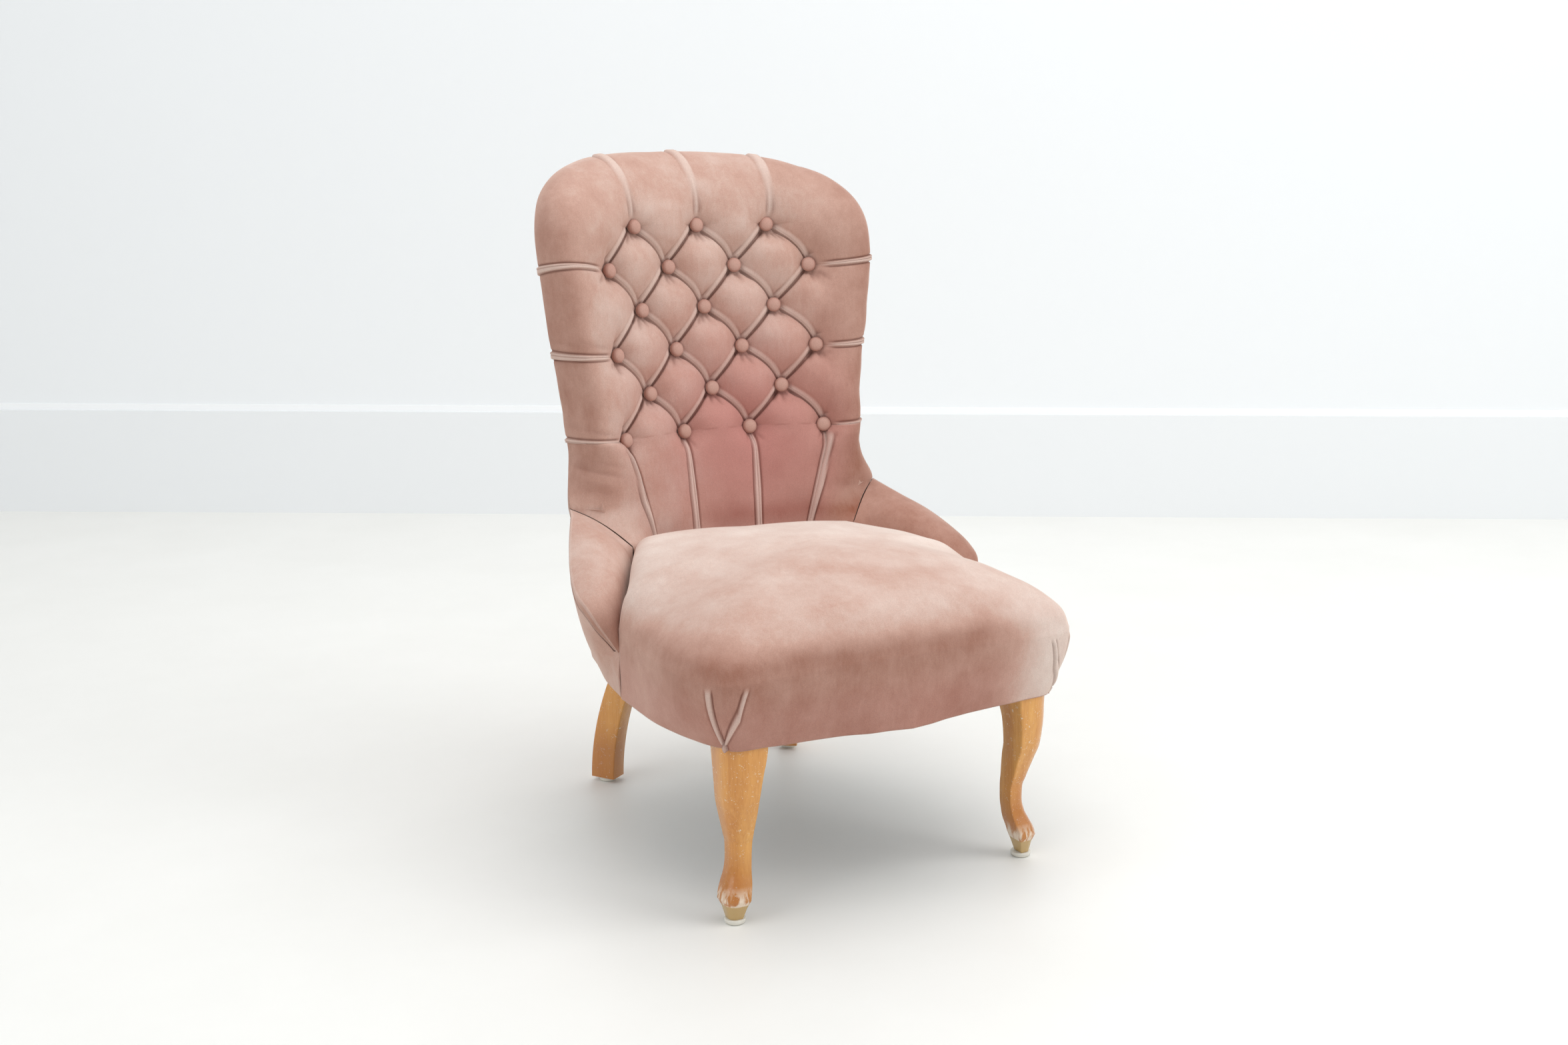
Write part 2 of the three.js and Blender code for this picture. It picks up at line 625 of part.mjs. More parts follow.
const noseRoom = 4; // between the panel and the arm's nose
function outsideColumns() {
  const topColumn = columnCount + edgeCount;
  const behind = (place) => place.setY(place.y + fabric + gap + 7 * slack);
  const top = steps(0, topColumn).map((c) => behind(edgePlace(c, topRow + edgeCount)));
  const highRow = topRow + edgeCount;
  const side = steps(-openCount, highRow - 1).reverse().map((row) => behind(edgePlace(topColumn, row)));
  const arm = armRows.map(([seam], i) => {
    const level = Math.min(1, i / uprightCount);
    const room = gap + slack + (1 - level) * noseRoom;
    return seam.clone().add(point(0, fabric + slack + (1 - level) * room, -room));
  });
  arm.splice(1, 1);
  arm.reverse();
  const tip = armRows[0][6].clone().add(point(0, slack, -gap - slack - noseRoom));
  const [cornerIndex1, cornerIndex2, tipIndex] = [3.2, 5, hemRearShares.length - 1];
  const tipLap = 0.8;
  return [
    ...top.map((place, i) => [onHem((cornerIndex1 * i) / top.length), place]),
    ...side.map((place, i) => [onHem(lerp(cornerIndex1, cornerIndex2, i / side.length)), place]),
    ...arm.map((place, i) => [onHem(lerp(cornerIndex2, tipIndex - tipLap, i / (arm.length - 1))), place]),
    [onHem(tipIndex), tip],
  ];
}
const halfOutside = outsideColumns();

function addOutsideCover() {
  const bulge = (place, share) => {
    const outward = point(place.x, place.y - rearReach / 4, 0).normalize();
    return place.addScaledVector(outward, panelBulge * Math.sin(Math.PI * share));
  };
  const rows = [0, 0.2, 0.4, 0.6, 0.8, 1].map((share) => {
    const right = halfOutside.map(([low, high]) => bulge(low.clone().lerp(high, share), share));
    return [...right.slice(1).reverse().map(mirrored), ...right];
  });
  const faces = flipped(gridFaces(rows.length, rows[0].length, false));
  const face = rows.flat();
  addPiece("outside_cover", between(face, shifted(face, faces, -fabric), faces), velvet);
}

// Frame: rails cut from one bent outline, so that they follow the upholstery's lower edge
const closedShape = (places) => new THREE.Shape(places.map((p) => new THREE.Vector2(p.x, p.y)));
function prism(places, bottom, top) {
  const shape = new THREE.ExtrudeGeometry(closedShape(places), { depth: top - bottom, bevelEnabled: false });
  return solidOf(shape.translate(0, 0, bottom));
}

const lowerOutline = [
  ...halfSeat.slice(0, seatFrontShares.length + 2).map((column) => column(0)),
  ...[...halfOutside].reverse().map(([low]) => low),
];

// The lower edge's outline, drawn in towards the seat's middle.
function drawnIn(distance, every = 1) {
  const middle = point(0, seatCentreY / 2, 0);
  const half = lowerOutline.filter((p, i) => i % every === 0 || i === lowerOutline.length - 1);
  const right = half.map((p) => p.clone().setZ(0).add(middle.clone().sub(p).setZ(0).setLength(distance)));
  return [...right, ...right.slice(1, -1).reverse().map(mirrored)];
}

const frontPostX = frontLegX - legShift;
const frontPostY = frontLegY + legShift;
const halfPost = frontPostWidth / 2;
const postSpace = (clearance) => {
  const reach = halfPost + clearance;
  const [x, y] = [frontPostX, frontPostY];
  return block(x - reach, x + reach, y - reach, y + reach, hemHeight - overrun, railTop + overrun);
};

function addSeatFrame() {
  const outer = prism(drawnIn(fabric + gap + 2 * slack), railBottom, railTop);
  const opening = prism(drawnIn(fabric + railThickness, 3), railBottom - overrun, railTop + overrun);
  const ring = outer.subtract(opening);
  const far = hemHalfWidth + overrun;
  const [low, high] = [railBottom - overrun, railTop + overrun];
  const postSide = frontPostX - halfPost - gap;
  const postRear = frontPostY + halfPost + gap;
  const front = ring.intersect(block(-postSide, postSide, -far - overrun, postRear, low, high));
  addPiece("front_rail", geometryOf(front), rawBeech);
  const side = ring.intersect(block(0, far, postRear, rearSplit, low, high));
  addPair("side_rail", geometryOf(side), rawBeech);
  const rear = ring.intersect(block(-far, far, rearSplit + gap, far, low, high));
  addPiece("rear_rail", geometryOf(rear), rawBeech);

  const blockSpace = prism(drawnIn(fabric + railThickness + gap, 3), railBottom, railTop);
  const inside = blockSpace.subtract(postSpace(gap));
  const corner = [[0, 0], [-2, 0], [0, 2]].map(([i, j]) =>
    point(frontPostX + halfPost + i * blockReach, frontPostY - halfPost + j * blockReach, 0));
  addPair("front_corner_block", geometryOf(inside.intersect(prism(corner, railBottom, railTop))), rawBeech);
}

// Legs
const rearLegTopX = rearLegX - rearLegSweep * Math.sin(rearLegTurn);
const rearLegTopY = rearLegY - rearLegSweep * Math.cos(rearLegTurn);

// Cabriole leg: shares of the height under the upholstery, of the knee's width, and of the lean towards the
// seat's middle.
const kneeWidth = 42;
const legLean = 14.6;
const frontLegShares = [
  [0.03, 0.38, -0.07],
  [0.092, 0.48, 0],
  [0.135, 0.63, 0],
  [0.165, 0.63, 0.14],
  [0.225, 0.58, 0.55],
  [0.28, 0.5, 0.84],
  [0.345, 0.485, 1],
  [0.415, 0.5, 0.99],
  [0.475, 0.56, 0.8],
  [0.535, 0.63, 0.58],
  [0.61, 0.72, 0.27],
  [0.7, 0.79, -0.1],
  [0.83, 0.88, -0.25],
  [0.92, 0.95, -0.15],
  [0.998, 1, -0.07],
];

function addFrontLegs() {
  const inwards = point(-1, 1, 0).normalize();
  const ring = (x, y, z, width) =>
    section(point(x, y, z), point(width / 2, 0, 0), point(0, width / 2, 0), Math.min(edgeRadius, width / 5));
  const rings = frontLegShares.map(([height, width, lean]) => {
    const middle = point(frontLegX, frontLegY, 0).addScaledVector(inwards, lean * legLean);
    return ring(middle.x, middle.y, Math.max(height * hemHeight, glideHeight + gap), width * kneeWidth);
  });
  for (const z of [hemHeight, railTop]) rings.push(ring(frontPostX, frontPostY, z, frontPostWidth));
  addPair("front_leg", loft(rings), varnishedBeech);
}

function addRearLegs() {
  const backwards = point(Math.sin(rearLegTurn), Math.cos(rearLegTurn), 0);
  const across = point(-backwards.y, backwards.x, 0).multiplyScalar(rearLegWidth / 2);
  const [foot, top] = [glideHeight + gap, railBottom - gap];
  const rings = [0, 0.12, 0.26, 0.4, 0.54, 0.68, 0.82, 0.92, 1].map((share) => {
    const middle = point(rearLegX, rearLegY, lerp(foot, top, share));
    middle.addScaledVector(backwards, -rearLegSweep * share ** 1.9);
    return section(middle, across, backwards.clone().multiplyScalar(rearLegDepth / 2), edgeRadius);
  });
  addPair("rear_leg", loft(rings), varnishedBeech);
}

function addGlides() {
  const spherical = (glideRadius ** 2 + glideHeight ** 2) / (2 * glideHeight);
  const half = Math.asin(glideRadius / spherical);
  const flat = 0.25 * half;
  const arc = count(5).map((i) => lerp(flat, half, i / 4));
  const bottom = spherical * (1 - Math.cos(flat));
  const onDome = (a) => new THREE.Vector2(spherical * Math.sin(a), spherical * (1 - Math.cos(a)) - bottom);
  const dome = arc.map(onDome);
  const outline = [new THREE.Vector2(0, 0), ...dome, new THREE.Vector2(0, dome.at(-1).y)];
  const places = { front: [frontLegX, frontLegY], rear: [rearLegX, rearLegY] };
  for (const [end, [x, y]] of Object.entries(places))
    for (const [name, side] of [["right", 1], ["left", -1]]) {
      const geometry = new THREE.LatheGeometry(outline, 20).rotateX(Math.PI / 2);
      addPiece(`${end}_glide_${name}`, geometry, whiteNylon).position.set(side * x, y, 0);
    }
}

// Back frame: posts that stand on the seat frame and follow the back's edge, with a rail over them
const frameSetback = padDepth + hessianThickness + 3 * gap + slack;

function postRing(z) {
  const share = (z - railTop) / (topRailBottom - railTop);
  const half = z > waistHeight ? edgeHalfWidth(z) : waistHalfWidth - (share * postWidth) / 2;
  const lean = Math.atan2(half, backRadius);
  const x = half - sideStuffing - postInset - postWidth / 2 - (postDepth / 2) * Math.sin(lean);
  const turn = Math.atan2(x, backRadius);
  const tangent = point(Math.cos(turn), -Math.sin(turn), 0);
  const normal = point(Math.sin(turn), Math.cos(turn), 0);
  const middle = point(x, facePlane(x, z) + frameSetback, z).addScaledVector(normal, postDepth / 2);
  return section(middle, tangent.multiplyScalar(postWidth / 2), normal.multiplyScalar(postDepth / 2));
}

function addBackFrame() {
  const postShares = [0, 0.25, 0.42, 0.62, 0.8, 1];
  const rings = postShares.map((share) => postRing(lerp(railTop + gap, topRailBottom - gap, share)));
  addPair("back_post", loft(rings), rawBeech);

  const span = shoulderHalfWidth - sideStuffing - postWidth / 2;
  const sections = steps(-6, 6).map((i) => {
    const x = (span * i) / 6;
    const top = topHeight(Math.abs(x) + sideStuffing + postInset) - sideStuffing - postInset;
    const corner = (z, depth) => point(x, facePlane(x, z) + frameSetback + depth, z);
    return [
      corner(topRailBottom, 0),
      corner(topRailBottom, backRailThickness),
      corner(top, backRailThickness),
      corner(top, 0),
    ];
  });
  addPiece("top_rail", loft(sections), rawBeech);

  const columns = backColumns.filter((c) => Math.abs(c) <= columnCount + 1);
  const rows = [-3, 0, topRow];
  const sheet = rows.flatMap((r) => columns.map((c) => paddingRear(c, r).add(point(0, gap, 0))));
  const rear = sheet.map((p) => p.clone().add(point(0, hessianThickness, 0)));
  addPiece("back_hessian", between(sheet, rear, gridFaces(rows.length, columns.length, false)), jute);
}

// Arm rail: from the side rail up and back to the post's front corner
function addArmRails() {
  const [halfWidth, halfDepth] = [armRailWidth / 2, armRailDepth / 2];
  const low = railTop + gap + slack + halfDepth;
  const places = armRows.slice(5).map(([, outer, , , , , inner]) => {
    const middle = outer.clone().lerp(inner, 0.5);
    return middle.setZ(lerp(low, middle.z, armRailShare));
  });
  const foot = point(armSideStart.x - fabric, armSideStart.y + railThickness + armPadding, 0);
  places.unshift(foot.setZ(low));
  const end = places.at(-1).z;
  const corner = postRing(end).reduce((front, p) => (p.y < front.y ? p : front));
  places.push(corner.clone().add(point(halfWidth / 2, -gap - slack - 2 * recline * halfDepth, 0)));
  const rings = places.map((place) => section(place, point(halfWidth, 0, 0), point(0, 0, halfDepth)));
  addPair("arm_rail", loft(rings), rawBeech);
}

// Seat suspension: crossed straps under the rails, coil springs on them, hessian over the springs
function spring(bottom, top) {
  const stepsPerTurn = 8;
  const sides = 5;
  const rings = count(springTurnCount * stepsPerTurn + 1).map((i) => {
    const share = i / (springTurnCount * stepsPerTurn);
    const angle = (2 * Math.PI * i) / stepsPerTurn;
    const radius = lerp(springWaist, springRadius, Math.abs(2 * share - 1));
    const outward = point(Math.cos(angle), Math.sin(angle), 0);
    const height = lerp(bottom + wireRadius, top - wireRadius, share);
    const middle = outward.clone().multiplyScalar(radius).setZ(height);
    return count(sides).map((k) => {
      const turn = (2 * Math.PI * k) / sides;
      const place = middle.clone().addScaledVector(outward, wireRadius * Math.cos(turn));
      return place.setZ(place.z + wireRadius * Math.sin(turn));
    });
  });
  return loft(rings);
}

function addSuspension() {
  const upper = railBottom - gap;
  const lower = upper - strapThickness - gap;
  const half = strapWidth / 2;
  const [front, rear] = [-frontReach + 3 * strapLap, rearReach - 2 * strapLap];
  const strap = (x0, x1, y0, y1, top) => geometryOf(block(x0, x1, y0, y1, top - strapThickness, top));
  addPiece("long_strap", strap(-half, half, front, rear, upper), jute);
  const reach = hemHalfWidth - 2 * strapLap;
  const top = hessianHeight(0) - gap;
  addPiece("spring_middle", spring(upper + gap, top), springSteel).position.set(0, seatCentreY, 0);
  for (const [end, side] of [["front", -1], ["rear", 1]]) {
    const y = seatCentreY + (side * springRowPitch) / 2;
    addPiece(`cross_strap_${end}`, strap(-reach, reach, y - half, y + half, lower), jute);
    for (const [name, way] of [["left", -1], ["right", 1]]) {
      const coil = addPiece(`spring_${end}_${name}`, spring(lower + gap, top), springSteel);
      coil.position.set(way * springPitch, y, 0);
    }
  }
  const dustTop = lower - strapThickness - gap;
  let dust = prism(drawnIn(fabric + gap + cornerPleatDepth), dustTop - dustThickness, dustTop);
  for (const side of [-1, 1]) {
    const reach = kneeWidth / 2 + slack;
    const [near, far] = [frontPostX - reach, frontPostX + reach + overrun].map((x) => side * x);
    const y = frontPostY + reach;
    const front = y - 2 * reach - overrun;
    dust = dust.subtract(block(Math.min(near, far), Math.max(near, far), front, y, 0, railTop));
    const halfWidth = rearLegWidth / 2 + slack;
    const leg = block(-halfWidth, halfWidth, -rearLegDepth, rearLegDepth / 2 + 2 * edgeRadius, 0, railTop);
    const turn = [0, 0, -side * radToDeg(rearLegTurn)];
    dust = dust.subtract(leg.rotate(turn).translate([side * rearLegTopX, rearLegTopY, 0]));
  }
  addPiece("dust_cover", geometryOf(dust), blackCambric);
}

addBack();
addButtons();
addSeat();
addArms();
addOutsideCover();
addSeatFrame();
addBackFrame();
addArmRails();
addSuspension();
addFrontLegs();
addRearLegs();
addGlides();
chair.position.y = -(new THREE.Box3().setFromObject(chair).getCenter(new THREE.Vector3()).y);
export default chair;
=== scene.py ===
# A low button-back chair in dusty pink velvet: the visible upholstery, legs and finishes round its CAD frame.
import json
import math
import bmesh
import bpy
import numpy as np
from mathutils import Matrix, Vector


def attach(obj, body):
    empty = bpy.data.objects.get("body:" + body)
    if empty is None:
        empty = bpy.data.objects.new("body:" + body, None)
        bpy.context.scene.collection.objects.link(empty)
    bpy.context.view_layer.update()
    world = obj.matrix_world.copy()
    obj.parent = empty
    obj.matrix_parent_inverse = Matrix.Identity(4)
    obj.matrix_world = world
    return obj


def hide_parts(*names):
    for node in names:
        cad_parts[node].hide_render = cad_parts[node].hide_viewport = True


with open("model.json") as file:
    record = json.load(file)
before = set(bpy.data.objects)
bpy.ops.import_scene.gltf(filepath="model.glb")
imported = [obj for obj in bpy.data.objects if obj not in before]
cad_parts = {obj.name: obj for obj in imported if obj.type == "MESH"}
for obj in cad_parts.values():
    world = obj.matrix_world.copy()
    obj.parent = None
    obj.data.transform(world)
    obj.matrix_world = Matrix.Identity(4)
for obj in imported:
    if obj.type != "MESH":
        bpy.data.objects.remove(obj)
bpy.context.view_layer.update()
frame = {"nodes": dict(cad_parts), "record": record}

# Sizes in millimetres, as in the part's source
REAR_SHIFT = -13.66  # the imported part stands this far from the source's own origin
HEM_HEIGHT, HEM_HALF_WIDTH, FRONT_REACH, REAR_REACH = 217, 249, 305, 222
FACE_REACH, RECLINE, BACK_RADIUS = 98.8, 0.2074, 327
PUFF_HEIGHT, EDGE_SETBACK = 34, 50
WAIST_DEPTH = 15  # the edge roll is deeper beside the waist
BACK_TOP, SHOULDER_HALF_WIDTH, SHOULDER_HEIGHT, SHOULDER_POWER = 861, 243, 735, 2.9
WAIST_HALF_WIDTH, WAIST_HEIGHT, CROWN_HALF_WIDTH = 212, 478, 175
SEAM_OUTER = (229, 150, 412)
SEAM_INNER = (165, 100, 365)
TUCK_HALF_WIDTH, TUCK_REACH, TUCK_HEIGHT, TUCK_PUFF_SHARE = 157, 103, 290, 0.4
BUTTON_PITCH, ROW_PITCH, LOWEST_ROW, ROWS = 102.2, 53.9, 491.9, 6
BUTTON_RADIUS, BUTTON_RISE, BUTTON_DRAFT = 9.8, 5.5, 1.3
SEAT_CENTRE_Y, SEAT_HALF_WIDTH, SEAT_REAR, SEAT_EDGE, SEAT_CROWN = -80, 260, 136, 312, 395.5
ARM_SIDE_END = (167, 87)
ARM_SPREAD, ARM_TIP_Y, ARM_TIP_Z, ARM_CROWN = 290, -40, 266, 12
FABRIC = 2.2
SEAM_BOW = 6  # the seam between back and arm arches up by this much
# Past its fullest the edge roll turns back round a smaller radius
ROLL_BACK, ROLL_TURN = 14, math.radians(36)

# The photograph's camera
CAMERA_PLACE = (-1.0509, -1.8984, 0.8626)
CAMERA_TURN, CAMERA_PITCH, CAMERA_ROLL, CAMERA_LENS = -0.5088, 0.2115, 0.0028, 39.8


# Small helpers
def lerp(a, b, share):
    return a + (b - a) * share


def smooth(value, start, end):
    share = np.clip((value - start) / (end - start), 0, 1)
    return share * share * (3 - 2 * share)


def bump(value, width):
    return np.exp(-((value / width) ** 2))


def curve(points, at):
    """Places on a smooth curve through points; at counts points along it."""
    points = np.asarray(points, float)
    ends = np.vstack([2 * points[0] - points[1], points, 2 * points[-1] - points[-2]])
    at = np.atleast_1d(np.asarray(at, float))
    index = np.clip(np.floor(at).astype(int), 0, len(points) - 2)
    share = (at - index)[:, None]
    p0, p1, p2, p3 = (ends[index + k] for k in range(4))
    step = lambda a, b: np.maximum(((a - b) ** 2).sum(1), 1e-9)[:, None] ** 0.25
    d0, d1, d2 = step(p0, p1), step(p1, p2), step(p2, p3)
    t1 = ((p1 - p0) / d0 - (p2 - p0) / (d0 + d1) + (p2 - p1) / d1) * d1
    t2 = ((p2 - p1) / d1 - (p3 - p1) / (d1 + d2) + (p3 - p2) / d2) * d1
    c2, c3 = -3 * p1 + 3 * p2 - 2 * t1 - t2, 2 * p1 - 2 * p2 + t1 + t2
    return p1 + t1 * share + c2 * share**2 + c3 * share**3


def value_noise(x, y, seed):
    """Smooth random hills about 1 apart, between -1 and 1."""
    table = np.random.default_rng(seed).uniform(-1, 1, (64, 64))
    x, y = np.broadcast_arrays(np.asarray(x, float), np.asarray(y, float))
    i, j = np.floor(x).astype(int), np.floor(y).astype(int)
    s, t = x - i, y - j
    s, t = s * s * (3 - 2 * s), t * t * (3 - 2 * t)
    at = lambda a, b: table[a % 64, b % 64]
    return lerp(lerp(at(i, j), at(i + 1, j), s), lerp(at(i, j + 1), at(i + 1, j + 1), s), t)


def grid_faces(rows, columns, closed=False):
    """Faces of a sheet of rows of points; a closed sheet's rows end where they began."""
    index = np.arange(rows * columns).reshape(rows, columns)
    right = np.roll(index, -1, 1) if closed else index[:, 1:]
    left = index if closed else index[:, :-1]
    return np.stack([left[:-1], right[:-1], right[1:], left[1:]], -1).reshape(-1, 4)


def normals_of(points, faces):
    """Unit normals of a sheet's points. A face is three or four point numbers; -1 marks a missing fourth."""
    corners = points[faces]
    triangle = faces[:, 3] < 0
    last = np.where(triangle[:, None], corners[:, 0], corners[:, 3])
    face = np.cross(corners[:, 2] - corners[:, 0], last - corners[:, 1])
    total = np.zeros_like(points)
    for k in range(4):
        used = faces[:, k] >= 0
        np.add.at(total, faces[used, k], face[used])
    return total / np.maximum(np.linalg.norm(total, axis=1), 1e-12)[:, None]


def turned_over(faces):
    """The same faces, seen from the other side."""
    return np.where(faces[:, 3:] < 0, faces[:, [2, 1, 0, 3]], faces[:, ::-1])


def border_of(faces):
    """The point numbers along a sheet's border, in the direction of its faces."""
    after = {}
    edges = set()
    for face in faces.tolist():
        ring = [i for i in face if i >= 0]
        edges.update(zip(ring, ring[1:] + ring[:1]))
    for a, b in edges:
        if (b, a) not in edges:
            after[a] = b
    start = min(after)
    loop = [start]
    while after[loop[-1]] != start:
        loop.append(after[loop[-1]])
    return np.array(loop)


def closed_with(places, faces, border, rings, hub):
    """A sheet that is closed behind by rings as long as its border, and by a hub in the last one's middle."""
    size, count = len(border), len(places)
    all_faces, previous = [faces], border
    for _ in rings:
        ring = count + np.arange(size)
        all_faces.append(np.stack([np.roll(previous, -1), previous, ring, np.roll(ring, -1)], -1))
        previous, count = ring, count + size
    fan = np.stack([np.roll(previous, -1), previous, np.full(size, count), np.full(size, -1)], -1)
    return np.vstack([places, *rings, hub]), np.vstack([*all_faces, fan])


def thickened(places, faces, normals, depth):
    """A sheet with a second one at a depth behind it, and a wall round their border."""
    size = len(places)
    loop = border_of(faces)
    wall = np.stack([np.roll(loop, -1), loop, loop + size, np.roll(loop, -1) + size], -1)
    return np.vstack([places, places - normals * depth]), np.vstack([faces, faces[:, ::-1] + size, wall])


def deselect():
    if bpy.context.object and bpy.context.object.mode != "OBJECT":
        bpy.ops.object.mode_set(mode="OBJECT")
    bpy.ops.object.select_all(action="DESELECT")


def keep_values(mesh, **values):
    """Numbers kept on a mesh's points, which the velvet reads."""
    for key, numbers in values.items():
        layer = mesh.attributes.new(key, "FLOAT", "POINT")
        layer.data.foreach_set("value", np.asarray(numbers, np.float32))


def velvet_piece(name, points, faces, **values):
    """An upholstery piece from points in source millimetres, with its faces turned outwards."""
    mesh = bpy.data.meshes.new(name)
    places = (np.asarray(points) + (0, REAR_SHIFT, 0)) / 1000
    mesh.from_pydata(places.tolist(), [], [[i for i in face if i >= 0] for face in faces.tolist()])
    keep_values(mesh, **values)
    mesh.update()
    mesh.validate()
    mesh.shade_smooth()
    mesh.materials.append(materials["velvet"])
    piece = bpy.data.objects.new(name, mesh)
    bpy.context.scene.collection.objects.link(piece)
    deselect()
    bpy.context.view_layer.objects.active = piece
    piece.select_set(True)
    bpy.ops.object.mode_set(mode="EDIT")
    bpy.ops.mesh.select_all(action="SELECT")
    bpy.ops.mesh.normals_make_consistent(inside=False)
    bpy.ops.object.mode_set(mode="OBJECT")
    return piece


def settle(piece, slot, *nodes):
    """Rides the piece on the chair, in place of its CAD nodes."""
    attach(piece, "root")
    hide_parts(*nodes)


def settle_copy(master, name, place, slot, node):
    """A copy of a modelled piece, with its own mesh at its place."""
    mesh = master.data.copy()
    mesh.transform(place)
    mesh.materials.append(materials[slot])
    piece = bpy.data.objects.new(name, mesh)
    bpy.context.scene.collection.objects.link(piece)
    settle(piece, slot, node)


# Materials, and the kinds of node that most of them use
NOISE, RANGE, MATH = "ShaderNodeTexNoise", "ShaderNodeMapRange", "ShaderNodeMath"
MAPPING, ATTRIBUTE, BUMP = "ShaderNodeMapping", "ShaderNodeAttribute", "ShaderNodeBump"
MIX = "ShaderNodeMix"  # its colours are the sockets 6 and 7, and its output is 2


def linear(code):
    """An sRGB hex colour as linear red, green, blue and alpha."""
    parts = [int(code[i : i + 2], 16) / 255 for i in (1, 3, 5)]
    return (*(c / 12.92 if c <= 0.04045 else ((c + 0.055) / 1.055) ** 2.4 for c in parts), 1)


def per_size(size):
    """Noise scale for marks of a size in millimetres, in Object coordinates of metres."""
    return 1000 / size


def add_node(tree, kind, settings=(), links=()):
    node = tree.nodes.new(kind)
    for key, value in dict(settings).items():
        if isinstance(key, int) or key in node.inputs:
            node.inputs[key].default_value = value
        elif key == "stops":
            ramp = node.color_ramp.elements
            while len(ramp) < len(value):
                ramp.new(0.5)
            for element, (place, color) in zip(ramp, value):
                element.position = place
                element.color = color
        else:
            setattr(node, key, value)
    for key, socket in dict(links).items():
        tree.links.new(socket, node.inputs[key])
    return node


def new_material(name):
    material = bpy.data.materials.new(name)
    material.use_nodes = True
    tree = material.node_tree
    tree.nodes.clear()
    shader = add_node(tree, "ShaderNodeBsdfPrincipled")
    add_node(tree, "ShaderNodeOutputMaterial", links={"Surface": shader.outputs["BSDF"]})
    where = add_node(tree, "ShaderNodeTexCoord").outputs["Object"]
    return material, tree, shader, where


def velvet_material(name, dark, middle, pale, blush):
    # Cotton velvet, woven and cut: a short pile that looks dark along its tips and pale where it lies over; the
    # tone each piece keeps also holds painted light and shade
    material, tree, shader, where = new_material(name)
    shader.inputs["Roughness"].default_value = 0.9
    shader.inputs["Specular IOR Level"].default_value = 0.12
    shader.inputs["Sheen Weight"].default_value = 0.7
    shader.inputs["Sheen Roughness"].default_value = 0.3
    shader.inputs["Sheen Tint"].default_value = linear("#F6DFD2")
    # broad patches and finer streaks of pile that lies one way or the other
    patches = add_node(tree, NOISE, {"Scale": per_size(52), "Detail": 4, "Roughness": 0.6}, {"Vector": where})
    stretch = add_node(tree, MAPPING, {"Scale": (1.6, 1.0, 0.45)}, {"Vector": where})
    fine = {"Scale": per_size(9), "Detail": 5, "Roughness": 0.65, "Distortion": 0.6}
    streaks = add_node(tree, NOISE, fine, {"Vector": stretch.outputs[0]})
    both = {0: streaks.outputs["Fac"], 2: patches.outputs["Fac"]}
    marks = add_node(tree, MATH, {"operation": "MULTIPLY_ADD", 1: 0.35}, both)
    limits = {"From Min": 0.42, "From Max": 0.93, "To Min": -0.12, "To Max": 0.12}
    shift = add_node(tree, RANGE, limits, {"Value": marks.outputs[0]})
    tone = add_node(tree, ATTRIBUTE, {"attribute_name": "tone"})
    both = {0: tone.outputs["Fac"], 1: shift.outputs[0]}
    pile_and_light = add_node(tree, MATH, {"operation": "ADD", "use_clamp": True}, both)
    stops = [(0.0, linear(dark)), (0.5, linear(middle)), (1.0, linear(pale))]
    color = add_node(tree, "ShaderNodeValToRGB", {"stops": stops}, {"Fac": pile_and_light.outputs[0]}).outputs[0]
    # pinker cloth, a painted highlight on rolled edges of folds, and painted shade in creases
    for key, share, shade in (("blush", 0.75, blush), ("band", 0.5, "#E6D3C8"), ("crease", 0.6, "#6E4034")):
        kept = add_node(tree, ATTRIBUTE, {"attribute_name": key})
        amount = add_node(tree, MATH, {"operation": "MULTIPLY", 1: share}, {0: kept.outputs["Fac"]})
        both = {0: amount.outputs[0], 6: color}
        color = add_node(tree, MIX, {"data_type": "RGBA", 7: linear(shade)}, both).outputs[2]
    # tufts of pile, drawn 1.1 mm across because the real ones are too fine to show
    pile = add_node(tree, NOISE, {"Scale": per_size(1.1), "Detail": 3, "Roughness": 0.7}, {"Vector": where})
    limits = {"From Min": 0.3, "From Max": 0.7, "To Min": 0.88, "To Max": 1.1}
    speckle = add_node(tree, RANGE, limits, {"Value": pile.outputs["Fac"]})
    both = {0: color, "Scale": speckle.outputs[0]}
    speckled = add_node(tree, "ShaderNodeVectorMath", {"operation": "SCALE"}, both)
    tree.links.new(speckled.outputs[0], shader.inputs["Base Color"])
    raised = add_node(tree, BUMP, {"Strength": 0.25, "Distance": 0.0006}, {"Height": pile.outputs["Fac"]})
    tree.links.new(raised.outputs[0], shader.inputs["Normal"])
    return material


